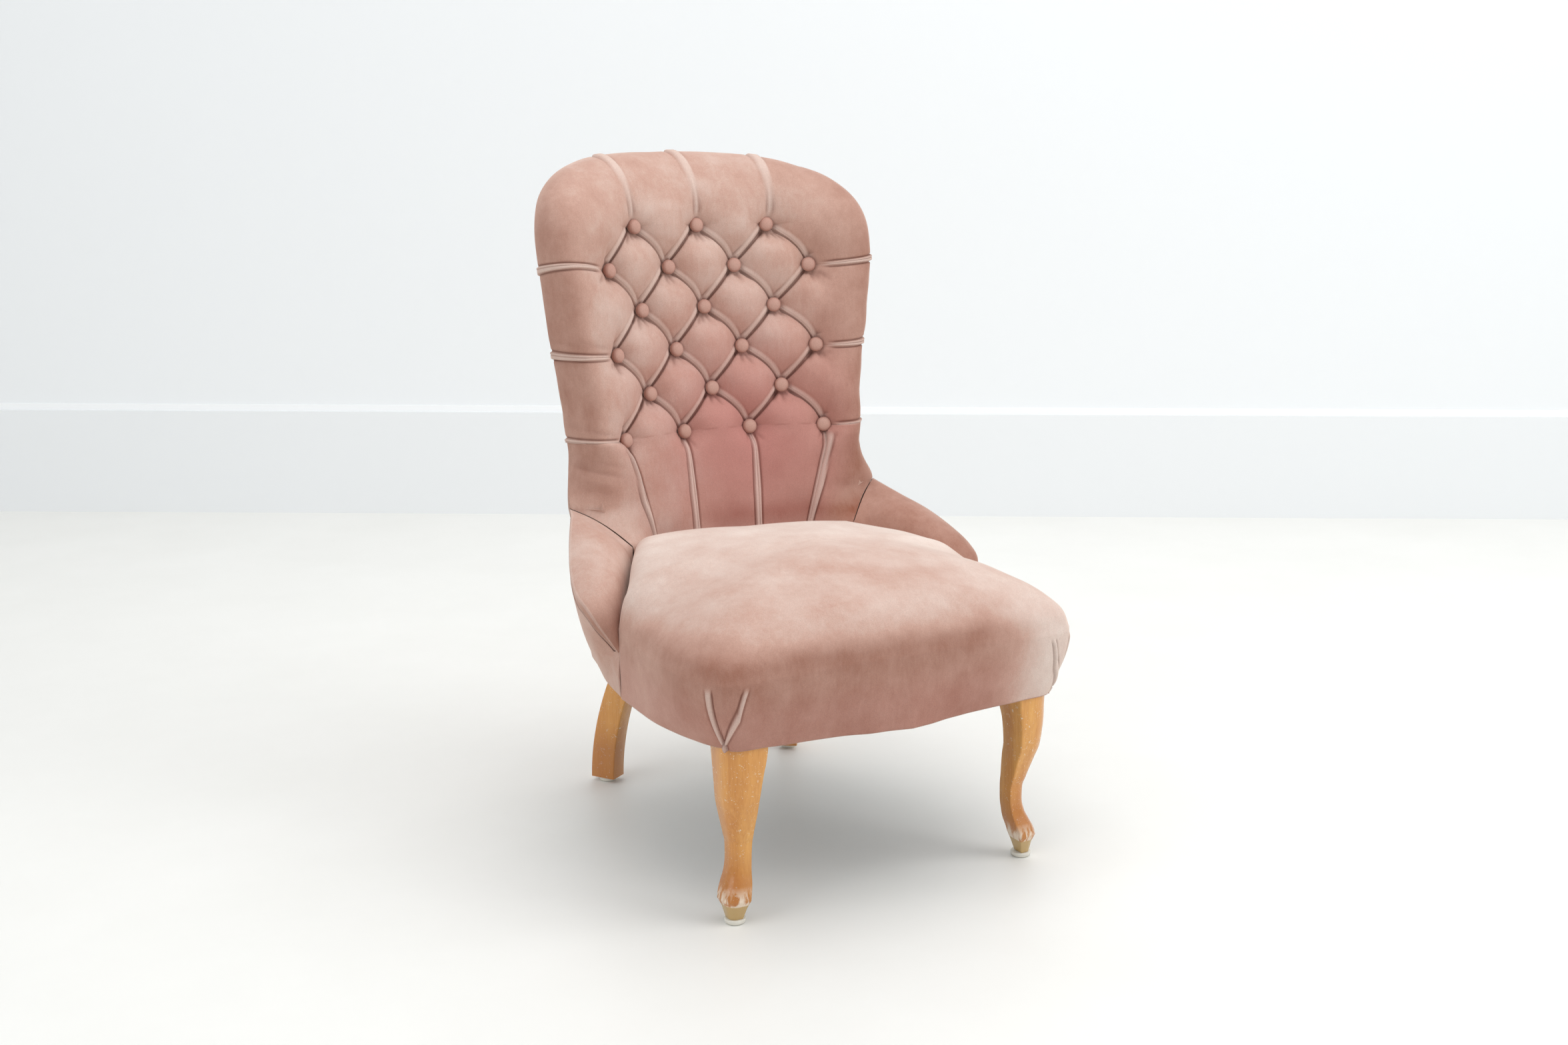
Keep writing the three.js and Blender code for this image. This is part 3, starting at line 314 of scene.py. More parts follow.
def wood_material(name, light, dark, gloss, marked):
    # Beech: fine straight grain in short darker streaks; warm and glossy varnished, pale and dull where sawn
    material, tree, shader, where = new_material(name)
    shader.inputs["Roughness"].default_value = gloss
    along = {"Vector": add_node(tree, MAPPING, {"Scale": (1, 1, 0.06)}, {"Vector": where}).outputs[0]}
    grain = add_node(tree, NOISE, {"Scale": per_size(2.2), "Detail": 6, "Roughness": 0.65}, along)
    broad = add_node(tree, NOISE, {"Scale": per_size(28), "Detail": 3}, along)
    both = {0: grain.outputs["Fac"], 2: broad.outputs["Fac"]}
    marks = add_node(tree, MATH, {"operation": "MULTIPLY_ADD", 1: 0.5}, both)
    share = add_node(tree, RANGE, {"From Min": 0.5, "From Max": 1.0}, {"Value": marks.outputs[0]})
    shades = {"data_type": "RGBA", 6: linear(dark), 7: linear(light)}
    wood = add_node(tree, MIX, shades, {0: share.outputs[0]}).outputs[2]
    if marked:
        # nicks through the varnish, down to the pale wood
        small = {"Scale": per_size(4.5), "Detail": 6, "Roughness": 0.75, "Distortion": 1.5}
        nicks = add_node(tree, NOISE, small, {"Vector": where})
        bare = add_node(tree, RANGE, {"From Min": 0.61, "From Max": 0.64}, {"Value": nicks.outputs["Fac"]})
        # a deeper colour at the ankle; places and heights are in metres
        place = add_node(tree, "ShaderNodeSeparateXYZ", links={0: where}).outputs
        height = {"Value": place["Z"]}
        ankle = add_node(tree, RANGE, {"From Min": 0.09, "From Max": 0.05}, height)
        deeper = add_node(tree, MATH, {"operation": "MULTIPLY", 1: 0.55}, {0: ankle.outputs[0]})
        # on the front legs, rubbed varnish on the toes and bare wood below the toe's edge
        in_front = add_node(tree, RANGE, {"From Min": 0.0, "From Max": -0.1}, {"Value": place["Y"]})
        toe = add_node(tree, RANGE, {"From Min": 0.046, "From Max": 0.032}, height)
        streaked = add_node(tree, MAPPING, {"Scale": (1, 1, 0.25)}, {"Vector": where})
        broad_rubs = {"Scale": per_size(9), "Detail": 5, "Roughness": 0.65, "Distortion": 0.5}
        rubs = add_node(tree, NOISE, broad_rubs, {"Vector": streaked.outputs[0]})
        worn_off = add_node(tree, RANGE, {"From Min": 0.44, "From Max": 0.56}, {"Value": rubs.outputs["Fac"]})
        product = {"operation": "MULTIPLY"}
        paler_patch = add_node(tree, MATH, product, {0: toe.outputs[0], 1: worn_off.outputs[0]})
        scuffed = add_node(tree, MATH, product, {0: paler_patch.outputs[0], 1: in_front.outputs[0]})
        below = add_node(tree, RANGE, {"From Min": 0.0242, "From Max": 0.0232}, height)
        bare_toe = add_node(tree, MATH, product, {0: below.outputs[0], 1: in_front.outputs[0]})
        marks = ((bare, "#E9DCC2"), (deeper, "#A85F22"), (scuffed, "#E8D3BC"), (bare_toe, "#C2A066"))
        for amount, shade in marks:
            both = {0: amount.outputs[0], 6: wood}
            wood = add_node(tree, MIX, {"data_type": "RGBA", 7: linear(shade)}, both).outputs[2]
        shader.inputs["Coat Weight"].default_value = 0.6
        shader.inputs["Coat Roughness"].default_value = 0.16
    tree.links.new(wood, shader.inputs["Base Color"])
    raised = add_node(tree, BUMP, {"Strength": 0.15, "Distance": 0.0004}, {"Height": grain.outputs["Fac"]})
    tree.links.new(raised.outputs[0], shader.inputs["Normal"])
    return material


def plain_material(name, first, second, size, roughness, metallic=0.0):
    # Even stuff: only small marks of a size in millimetres break it, between two close shades
    material, tree, shader, where = new_material(name)
    shader.inputs["Roughness"].default_value = roughness
    shader.inputs["Metallic"].default_value = metallic
    marks = add_node(tree, NOISE, {"Scale": per_size(size), "Detail": 5, "Roughness": 0.6}, {"Vector": where})
    shades = {"data_type": "RGBA", 6: linear(first), 7: linear(second)}
    color = add_node(tree, MIX, shades, {0: marks.outputs["Fac"]}).outputs[2]
    tree.links.new(color, shader.inputs["Base Color"])
    raised = add_node(tree, BUMP, {"Strength": 0.3, "Distance": 0.0005}, {"Height": marks.outputs["Fac"]})
    tree.links.new(raised.outputs[0], shader.inputs["Normal"])
    return material


materials = {
    # old dusty pink velvet, nearly white where its pile lies over and brown in the shade of its tips
    "velvet": velvet_material("cut_cotton_velvet", "#8D5743", "#C49E8F", "#E8DAD0", "#BC7C76"),
    # the same cloth drawn tight over a button, so its tones lie closer together
    "button_velvet": velvet_material("button_velvet_cover", "#9C6A58", "#C49E8F", "#D6BBAD", "#BC7C76"),
    # honey-coloured gloss varnish with sharp highlights, scuffed
    "varnished_beech": wood_material("varnished_beech", "#EBAD58", "#C67C2C", 0.4, True),
    # pale, dull wood straight from the saw
    "raw_beech": wood_material("sawn_beech", "#DCC39A", "#C9A873", 0.7, False),
    # off-white wadding, soft and lumpy
    "cotton_felt": plain_material("cotton_felt", "#E9E0CE", "#D8CCB4", 6, 0.95),
    # coarse brown threads, quite matt
    "jute": plain_material("woven_jute", "#B39A6B", "#8E744A", 1.4, 0.95),
    # grey drawn wire with a soft shine along it
    "spring_steel": plain_material("drawn_spring_wire", "#8D8F90", "#74777A", 8, 0.35, 1.0),
    # nearly black lining cloth without any shine
    "black_cambric": plain_material("black_cambric", "#2E2C2B", "#232221", 1.2, 0.95),
    # off-white plastic with a soft gloss from its mould
    "white_nylon": plain_material("moulded_nylon", "#EDEAE0", "#DAD5C8", 5, 0.45),
}


# Inside back: the grid of quarter pitches and half rows that the buttons stand on
COLUMNS, TOP_ROW, EDGE, LOW, OPEN = 6, 10, 5, 7, 3
CELL_STEPS = 48  # mesh steps across one puff, side to side
EDGE_STEPS, LOW_STEPS = 46, 96  # mesh steps across the border, and from the lowest buttons down to the tuck
FOLD_BOW = 0.06  # folds arch up between their buttons, in puff sides
PUFF_SIDE = math.hypot(BUTTON_PITCH / 2, ROW_PITCH)
PUFF_HEM = 4.5  # a puff stays low this far from its folds
BORDER, LOW_ROW = 95, 30  # along the surface: the border's width, and a row's height below the buttons
LOW_DRAW, LOW_DRAW_END = 38, 360  # below the buttons the field is drawn in by this much, down to this height
ROLL_START = 0.88  # share of the border where the edge roll starts to turn back


def face_plane(x, z):
    return FACE_REACH + RECLINE * z - x**2 / (2 * BACK_RADIUS)


def row_height(row):
    heights = [TUCK_HEIGHT, SEAM_INNER[2], SEAM_OUTER[2], LOWEST_ROW, LOWEST_ROW + TOP_ROW * ROW_PITCH / 2]
    inside = np.interp(row, [-7, -5, -3, 0, TOP_ROW], heights)
    return inside + np.maximum(row - TOP_ROW, 0) * ROW_PITCH / 2


def top_arc(share):
    return np.clip(1 - np.clip(share, 0, 1) ** SHOULDER_POWER, 0, 1) ** (1 / SHOULDER_POWER)


def edge_half_width(z):
    side = lerp(WAIST_HALF_WIDTH, SHOULDER_HALF_WIDTH, smooth(z, WAIST_HEIGHT - 8, SHOULDER_HEIGHT + 20))
    arc = SHOULDER_HALF_WIDTH * top_arc((z - SHOULDER_HEIGHT) / (BACK_TOP - SHOULDER_HEIGHT))
    waist = lerp(SEAM_OUTER[0], WAIST_HALF_WIDTH, smooth(z, SEAM_OUTER[2], WAIST_HEIGHT))
    heights = (TUCK_HEIGHT, SEAM_INNER[2], SEAM_OUTER[2])
    widths = (TUCK_HALF_WIDTH, SEAM_INNER[0], SEAM_OUTER[0])
    ranges = [z > SHOULDER_HEIGHT, z > WAIST_HEIGHT, z > SEAM_OUTER[2]]
    return np.select(ranges, [np.minimum(arc, side), side, waist], np.interp(z, heights, widths))


def edge_reach(x, z):
    outer = face_plane(SEAM_OUTER[0], SEAM_OUTER[2]) + EDGE_SETBACK
    low = np.interp(z, [TUCK_HEIGHT, SEAM_INNER[2], SEAM_OUTER[2]], [TUCK_REACH, SEAM_INNER[1], outer])
    deep = WAIST_DEPTH * smooth(z, SEAM_OUTER[2], WAIST_HEIGHT) * smooth(730 - z, 0, 190)
    return np.where(z >= SEAM_OUTER[2], face_plane(x, z) + EDGE_SETBACK + deep, low)


def beyond(column, row):
    return np.maximum(0, np.abs(column) - COLUMNS) / EDGE, np.maximum(0, row - TOP_ROW) / EDGE


def edge_place(column, row):
    """The place on the back's outline that a grid place leads to."""
    side, top = beyond(column, row)
    height = row_height(np.minimum(row, TOP_ROW))
    crown_x = CROWN_HALF_WIDTH * np.abs(column) / COLUMNS
    crown_z = SHOULDER_HEIGHT + (BACK_TOP - SHOULDER_HEIGHT) * top_arc(crown_x / SHOULDER_HALF_WIDTH)
    larger = np.maximum(np.maximum(side, top), 1e-9)
    turn = np.where(top >= side, side / larger / 2, 1 - top / larger / 2)
    start = math.acos((CROWN_HALF_WIDTH / SHOULDER_HALF_WIDTH) ** (SHOULDER_POWER / 2))
    top_share = (row_height(TOP_ROW) - SHOULDER_HEIGHT) / (BACK_TOP - SHOULDER_HEIGHT)
    angle = lerp(start, math.asin(top_share ** (SHOULDER_POWER / 2)), turn)
    corner_x = SHOULDER_HALF_WIDTH * np.cos(angle) ** (2 / SHOULDER_POWER)
    corner_z = SHOULDER_HEIGHT + (BACK_TOP - SHOULDER_HEIGHT) * np.sin(angle) ** (2 / SHOULDER_POWER)
    over = (top > 0) & (side <= 0)
    corner = (top > 0) & (side > 0)
    x = np.select([over, corner], [crown_x, corner_x], edge_half_width(height))
    z = np.select([over, corner], [crown_z, corner_z], height)
    y = edge_reach(x, z)
    z = z + SEAM_BOW * np.sin(np.pi * np.clip((-OPEN - row) / 2, 0, 1))
    return np.stack([np.sign(column) * x, y, z], -1)


def rolled_back(row):
    """How much of the edge roll's backward turn a row has: none at the seam with the arm."""
    return smooth(row, -OPEN, -0.5)


def spread(steps):
    """Shares from 0 to 1 that lie close together at both ends."""
    share = np.arange(steps + 1) / steps
    return share - 0.72 * np.sin(2 * np.pi * share) / (2 * np.pi)


def back_grid():
    """Grid places and faces of the inside back. Mesh lines follow every fold and pleat."""
    steps = CELL_STEPS
    cell = spread(steps)
    at = lambda k: k // steps + cell[k % steps]
    first, last = np.arange(-2 * steps, int(3.5 * steps) + 1), np.arange(int(-4.5 * steps), steps + 1)
    i, j = np.meshgrid(first, last, indexing="ij")
    p, q = at(i), at(j)
    places = [np.stack([2 * (p + q) + 2, 2 * (p - q)], -1).reshape(-1, 2)]
    valid = (np.abs(i + j + steps) <= 3 * steps) & (i - j >= 0) & (i - j <= 5 * steps)
    index = np.where(valid, np.arange(i.size).reshape(i.shape), -1)
    quads = np.stack([index[:-1, :-1], index[:-1, 1:], index[1:, 1:], index[1:, :-1]], -1).reshape(-1, 4)
    known = (quads >= 0).sum(1)
    field = [quads[known == 4]]
    for quad in quads[known == 3]:
        ring = [k for k in quad if k >= 0]
        field.append(np.array([[*ring, -1]]))
    faces = [np.vstack(field)]
    middle = np.unique(np.round(2 * (2 * at(np.arange(3 * steps + 1)) - 3), 9))
    rise = np.unique(np.round(4 * at(np.arange(int(2.5 * steps) + 1)), 9))
    border = EDGE * np.arange(EDGE_STEPS + 1) / EDGE_STEPS
    out, up = COLUMNS + border, TOP_ROW + border
    down = -LOW * (np.arange(LOW_STEPS + 1) / LOW_STEPS)[::-1] ** 1.25
    wide = np.concatenate([-out[::-1][:-1], middle, out[1:]])
    for columns, rows in (
        (middle, up), (out, rise), (-out[::-1], rise), (out, up), (-out[::-1], up), (wide, down),
    ):
        offset = sum(len(group) for group in places)
        c, r = np.meshgrid(columns, rows)
        places.append(np.stack([c, r], -1).reshape(-1, 2))
        faces.append(grid_faces(len(rows), len(columns)) + offset)
    places = np.vstack(places)
    faces = np.vstack(faces)
    used = np.zeros(len(places), bool)
    used[faces[faces >= 0]] = True
    key, back = np.unique(np.round(places[used], 6), axis=0, return_inverse=True)
    number = np.full(len(places), -1)
    number[used] = back.reshape(-1)
    faces = np.where(faces >= 0, number[faces], -1)
    # every face is turned to the same side
    a, b, c = (key[faces[:, k]] for k in range(3))
    turned = (b[:, 0] - a[:, 0]) * (c[:, 1] - a[:, 1]) - (b[:, 1] - a[:, 1]) * (c[:, 0] - a[:, 0]) < 0
    faces[turned] = turned_over(faces[turned])
    return key[:, 0], key[:, 1], faces


def wave(share):
    return np.abs(np.sin(np.pi * share))


def fold_roll(distance, width):
    """How high the rolled edge of the cloth stands at a distance from its crease, as a share."""
    across = np.clip(distance / width, 0, 1)
    return np.sqrt(np.clip(1 - (2 * across - 1) ** 2, 0, 1))


def back_surface(c, r):
    """Places of the inside back's cover, and how much painted shade each gets in a crease and painted highlight
    on a fold's rolled edge.
    """
    side, top = beyond(c, r)
    out = np.maximum(side, top)
    inside = (out <= 0) & (r >= 0)
    cc, rc = np.clip(c, -COLUMNS, COLUMNS), np.clip(r, 0, TOP_ROW)
    p, q = (cc + rc - 2) / 4, (cc - rc - 2) / 4
    sp, sq = wave(p), wave(q)

    # Folds arch up between their buttons, and the side pleats swing up towards the edge
    fade = (1 - out) ** 2 * np.clip(1 + r / 3, 0, 1)
    shift_c = 2 * FOLD_BOW * (sq - sp) * fade
    shift_r = 2 * FOLD_BOW * (sq + sp) * fade
    left = c < 0
    by_side = lambda *both: np.where(left, *(np.interp(r, [-2, 0, 4, 8, 10], sizes) for sizes in both))
    bow = by_side([0, 5, 3, 12, 2], [0, 2, 2, 3, 1])
    end = by_side([0, -3, 3, 2, 0], [0, 3, 6, 13, 2])
    swing = (bow * np.sin(np.pi * side**0.8) + end * side) / (ROW_PITCH / 2)
    swing = np.where(side > 0, swing, 0) * (top <= 0)
    column = c + np.where(out > 0, 0, shift_c)
    row = np.where(top > 0, r, np.minimum(r + swing, TOP_ROW))

    # Puffs: low at the folds, lowest at the buttons
    u, v = p - np.floor(p), np.ceil(q) - q
    u_mm, v_mm = u * PUFF_SIDE, v * PUFF_SIDE
    over = lambda mm: np.clip(mm - PUFF_HEM, 0, None) / (PUFF_SIDE - PUFF_HEM)
    rise_u, rise_v = np.sin(np.pi * over(u_mm)), np.sin(np.pi * over(v_mm))
    ridge = ((sp**4 + sq**4) / (1 + sp**4 * sq**4)) ** 0.25
    full_field = 0.46 * ridge + 0.54 * np.clip(rise_u * rise_v, 0, None) ** 0.58

    # Straight pleats in the border
    side_mm, top_mm, low_mm = side * BORDER, top * BORDER, np.maximum(0, -r) * LOW_ROW
    near = lambda mm: np.exp(-mm / 9.0)
    share = np.clip(-r / LOW, 0, 1)
    depth_top = 0.38 * (1 - top) ** 2 + 0.62 * near(top_mm)
    depth_side = 0.38 * (1 - side) ** 2 + 0.62 * near(side_mm)
    depth_low = 0.42 * (1 - share) + 0.58 * bump(low_mm, 15)
    # a groove narrows away from its button
    narrow = lambda rounded, mm: rounded ** lerp(1.0, 0.55, np.clip(mm / 40, 0, 1))
    full_top = 1 - depth_top * (1 - narrow(wave(cc / 4), top_mm))
    full_side = 1 - depth_side * (1 - narrow(wave(rc / 4), side_mm))
    corner_near = near(side_mm) * near(low_mm)
    low_wave = np.where(side > 0, 1 - corner_near, narrow(wave(cc / 4 + 0.5), low_mm))
    full_low = lerp(1, TUCK_PUFF_SHARE, share) * (1 - np.where(side > 0, 1, depth_low) * (1 - low_wave))
    choices = [inside, r < 0, (top > 0) & (side > 0), top > 0, side > 0]
    full = np.select(choices, [full_field, full_low, np.ones_like(c), full_top, full_side], full_field)

    # Where it lies
    z_in = row_height(np.minimum(row, TOP_ROW)) + shift_r * ROW_PITCH / 2
    within = np.clip(column, -COLUMNS, COLUMNS)
    x_in = COLUMNS * BUTTON_PITCH / 4 * within / COLUMNS
    drawn = np.clip((LOWEST_ROW - z_in) / (LOWEST_ROW - LOW_DRAW_END), 0, 1) ** np.where(left, 0.8, 0.95)
    x_in -= np.sign(x_in) * LOW_DRAW * (within / COLUMNS) ** 2 * drawn
    edge = edge_place(c, row)
    wrap = rolled_back(r)
    forth = np.clip(out / lerp(1, ROLL_START, wrap), 0, 1)
    back = np.clip((out - ROLL_START) / (1 - ROLL_START), 0, 1) * ROLL_TURN * wrap
    turn = forth * np.pi / 2
    openness = smooth(-r, 0.3, 3.3) * 0.85
    reach = lerp(np.sin(turn), forth, openness)
    reach_x = np.where((top > 0) & (side <= 0), forth**1.4, reach)
    x, z = lerp(x_in, edge[:, 0], reach_x), lerp(z_in, edge[:, 2], reach)
    front = face_plane(x, z) - PUFF_HEIGHT * full
    y = lerp(front, edge[:, 1], lerp(1 - np.cos(turn), forth, openness)) + ROLL_BACK * np.sin(back)
    inward = np.stack([x_in - edge[:, 0], z_in - edge[:, 2]], -1)
    inward /= np.maximum(np.linalg.norm(inward, axis=1), 1e-9)[:, None]
    x, z = (np.stack([x, z], -1) + inward * (ROLL_BACK * (1 - np.cos(back)))[:, None]).T
    places = np.stack([x, y, z], -1)

    # Along the surface: rolled edges with a painted highlight, and creases and wrinkles with painted shade
    lift, crease, band = np.zeros_like(c), np.zeros_like(c), np.zeros_like(c)
    for near_mm, along, width, dark in ((u_mm, v_mm, 7.5, 0.6), (v_mm, u_mm, 9.5, 1.0)):
        length = np.clip(along / PUFF_SIDE, 0, 1)
        strength = np.where(inside, smooth(np.minimum(length, 1 - length) * PUFF_SIDE, 3, 14), 0)
        roll = fold_roll(near_mm, width) * (near_mm < width)
        upper = bump(near_mm - width - 0.6, 1.3) * (0.3 + 0.7 * smooth(0.5 - length, 0.0, 0.4))
        groove = bump(near_mm, 1.0) + bump(PUFF_SIDE - near_mm, 1.1)
        split = bump(near_mm - 0.42 * width, 0.9) * smooth(length, 0.25, 0.6) * (dark > 0.9)
        lift += strength * (2.8 * roll * (1 - 0.35 * split) - 1.2 * upper - 2.8 * groove)
        lines = bump(near_mm, 0.8) + 0.8 * bump(PUFF_SIDE - near_mm, 1.3) + 0.55 * upper + 0.5 * split
        crease = np.maximum(crease, strength * dark * np.clip(lines, 0, 1))
        band = np.maximum(band, strength * roll * (1 - 0.6 * split))
    from_pleat = lambda place, pitch: (place - np.round(place)) * pitch
    low_across = np.where(side > 0, np.sign(c) * side_mm, from_pleat(cc / 4 + 0.5, BUTTON_PITCH))
    for where, distance, run, start_width, end_width in (
        ((top > 0) & (side <= 0), from_pleat(cc / 4, BUTTON_PITCH) * lerp(1, 1.15, top), top_mm, 3.0, 7.5),
        ((side > 0) & (top <= 0) & (r >= 0), from_pleat(rc / 4, 2 * ROW_PITCH), side_mm, 2.6, 5.5),
        (r < 0, low_across, low_mm, 2.6, 5.6),
    ):
        width = lerp(start_width, end_width, np.clip(run / 90, 0, 1))
        strength = np.where(where, smooth(run, 5, 14), 0)
        flat = np.clip((width - np.abs(distance)) / 1.4, 0, 1)
        split = bump(distance - 0.2 * width, 0.7) * 0.35
        groove = bump(np.abs(distance) - width - 0.6, 1.1)
        lift += strength * (2.4 * flat * (1 - split) - 2.4 * groove)
        crease = np.maximum(crease, strength * np.maximum(groove * 0.75, split))
        band = np.maximum(band, strength * flat * (1 - split))
    # short wrinkles that run up from each button into its puff, with painted shade in them
    small = np.random.default_rng(11)
    for i in range(ROWS):
        per_row = 3 if i % 2 else 4
        for k in range(per_row):
            across = (c - (k - (per_row - 1) / 2) * 4) * BUTTON_PITCH / 4
            down = (2 * i - r) * ROW_PITCH / 2
            around = np.arctan2(across, down)
            away = np.hypot(across, down)
            for aim in (-0.62, -0.22, 0.2, 0.6):
                angle = aim + small.uniform(-0.12, 0.12)
                long = small.uniform(19, 32)
                off = away * np.sin(around - angle)
                ahead = away * np.cos(around - angle)
                ray = bump(off, 0.8 + 0.05 * long) * smooth(ahead, 8, 12) * smooth(long - ahead, 0, 12)
                if i == 0:
                    ray = ray * 0.6
                lift -= 2.2 * ray
                crease = np.maximum(crease, 0.55 * ray)
    # fine wrinkles beside the outer buttons and at the waist, more of them on the left, with painted shade in
    # their hollows
    for height, reach_mm, amount in ((4.0, 26, 1.0), (0.2, 24, 0.8), (-1.5, 30, 1.1), (8.0, 18, 0.35)):
        ripple = value_noise(places[:, 0] / 60 + height, places[:, 2] / 6.5 + 0.25 * places[:, 0] / 6.5, 5)
        zone = bump((r - height) * ROW_PITCH / 2, reach_mm) * smooth(np.abs(places[:, 0]), 150, 185)
        zone = zone * smooth(1 - side, 0.02, 0.3)
        amount = amount * np.where(left, 1.0, 0.3)
        lift += amount * zone * ripple
        crease = np.maximum(crease, 0.4 * amount * zone * np.clip(-ripple, 0, 1) ** 2)
    lift += 1.2 * value_noise(places[:, 0] / 34, places[:, 2] / 30, 7) * smooth(out + share, 0.0, 0.25)
    return places, lift, crease, band


def back_rear(c, r):
    """The rear of the back's padding, which the hessian and the frame carry."""
    side, top = beyond(c, r)
    out = np.maximum(side, top)
    turn_share = lerp(1, 0.6, np.clip((r + OPEN) / 2, 0, 1))
    z_in = row_height(np.minimum(r, TOP_ROW))
    half = np.minimum(COLUMNS * BUTTON_PITCH / 4, 0.8 * edge_half_width(z_in))
    x_in = half * np.clip(c, -COLUMNS, COLUMNS) / COLUMNS
    inner = np.stack([x_in, face_plane(x_in, z_in), z_in], -1)
    edge = edge_place(c, r)
    inward = np.stack([x_in - edge[:, 0], 0 * x_in, z_in - edge[:, 2]], -1)
    inward /= np.maximum(np.linalg.norm(inward, axis=1), 1e-9)[:, None]
    stuffing = 21 + 13 * np.clip(-r / 2, 0, 1) * np.clip(r + 4, 0, 1)
    rim = edge + inward * stuffing[:, None]
    place = lerp(inner, rim, np.minimum(1, out / turn_share)[:, None])
    depth = np.where(r < 0, lerp(8, -4, np.clip(-r / LOW, 0, 1)), 8)
    wall = np.where(out > turn_share, (out - turn_share) / np.maximum(1 - turn_share, 1e-9), 0)
    place[:, 1] = lerp(face_plane(place[:, 0], place[:, 2]) + depth, edge[:, 1] - FABRIC, wall)
    return place


def make_back():
    c, r, faces = back_grid()
    places, lift, crease, band = back_surface(c, r)
    normals = normals_of(places, faces)
    if normals[:, 1].mean() > 0:
        faces, normals = turned_over(faces), -normals
    places = places + normals * lift[:, None]
    loop = border_of(faces)
    middle_row = 4.0
    rings = [
        back_rear(c[loop] * share, middle_row + (r[loop] - middle_row) * share)
        for share in (0.999, 0.93, 0.85, 0.7, 0.45, 0.2)
    ]
    hub = back_rear(np.array([0.0]), np.array([middle_row]))
    points, all_faces = closed_with(places, faces, loop, rings, hub)
    pad = np.zeros(len(points) - len(places))

    # The pile's tone, with painted light and shade: painted shade in the hollow to the right, towards the right
    # side and in the border, and a painted highlight along the upper edge; the hollow is also pinker
    side, top = beyond(c, r)
    out = np.maximum(side, top)
    x, z = places[:, 0], places[:, 2]
    tone = 0.58 - 0.14 * smooth(650 - z, 0, 160) * smooth(x, -110, 40) - 0.17 * smooth(x, 90, 200)
    painted_border_shade = np.where(x < 0, 0.26, 0.14) * (1 - 0.75 * smooth(z, 720, 850)) * smooth(z, 400, 440)
    tone -= smooth(out, 0.15, 0.55) * painted_border_shade
    tone += 0.15 * smooth(out, 0.75, 0.98) * smooth(z, 640, 760)
    # a band of painted shade low on the back, beside the seat's top
    tone -= 0.25 * bump(z - 380, 15) * smooth(x, -80, 20)
    blush = bump(x - 40, 160) * bump(z - 480, 140) * (1 - smooth(out, 0, 0.6))
    piece = velvet_piece(
        "inside_back", points, all_faces,
        crease=np.concatenate([crease, pad]), band=np.concatenate([band, pad]),
        tone=np.concatenate([tone, pad + 0.5]), blush=np.concatenate([blush, pad]),
    )
    settle(piece, "velvet", "inside_back_cover", "back_padding")


# Covered buttons: one is modelled, and the others are copies of its mesh
def make_buttons():
    deselect()
    rim = BUTTON_RADIUS * BUTTON_DRAFT
    bpy.ops.mesh.primitive_uv_sphere_add(segments=40, ring_count=20, radius=BUTTON_RADIUS / 1000)
    master = bpy.context.object
    for vertex in master.data.vertices:
        z = vertex.co.z * 1000
        flat = BUTTON_RISE / BUTTON_RADIUS if z > 0 else rim / BUTTON_RADIUS
        inward = 1 if z > 0 else 1 - 0.25 * smooth(-z / BUTTON_RADIUS, 0.0, 1.0)
        vertex.co.x *= inward
        vertex.co.y *= inward
        vertex.co.z = (z * flat + rim) / 1000
    master.data.shade_smooth()
    away = [math.hypot(vertex.co.x, vertex.co.y) * 1000 for vertex in master.data.vertices]
    # painted shade darkens each button towards its rim
    marked = smooth(np.array(away), 6.5, BUTTON_RADIUS)
    keep_values(master.data, tone=0.55 - 0.2 * marked, blush=0.25 + 0 * marked, crease=0.25 * marked)
    number = 0
    for row in range(ROWS):
        per_row = 3 if row % 2 else 4
        for i in range(per_row):
            x = (i - (per_row - 1) / 2) * BUTTON_PITCH
            z = LOWEST_ROW + row * ROW_PITCH
            outward = Vector((-x / BACK_RADIUS, -1, RECLINE)).normalized()
            place = Vector((x, face_plane(x, z) + REAR_SHIFT, z)) / 1000 + outward * 0.0003
            turn = Vector((0, 0, 1)).rotation_difference(outward).to_matrix().to_4x4()
            number += 1
            placed = Matrix.Translation(place) @ turn @ Matrix.Rotation(number * 1.7, 4, "Z")
            name = f"button_{ROWS - row}_{i + 1}"
            settle_copy(master, f"covered_{name}", placed, "button_velvet", name)
    bpy.data.objects.remove(master)


# Seat: shares of the half width and of the reach, at the fullest line and at the lower edge
SEAT_FRONT = [
    (0, 1, 0, 1), (0.23, 0.996, 0.17, 0.975), (0.46, 0.985, 0.39, 0.94), (0.68, 0.973, 0.62, 0.926),
    (0.85, 0.952, 0.787, 0.917), (0.948, 0.895, 0.896, 0.838), (0.992, 0.79, 0.957, 0.708),
    (1, 0.645, 0.989, 0.585), (0.994, 0.46, 1.003, 0.43), (0.98, 0.29, 1.0, 0.29), (0.96, 0.15, 0.995, 0.15),
]
# Places in that table: the middle of a front corner's V pleat, and how far its fine mesh spreads
PLEAT, PLEAT_REACH = 4.4, 1.2
PLACE_WIDTH = 34  # one place along the table's edge, near a front corner
SIDE_START, SIDE_END = 10, 12  # places where the straight side behind the arm's tip starts and ends
EDGE_DROPS = (8.5, 17)  # the fullest line lies this far below SEAT_EDGE: in front, and at the corners and sides
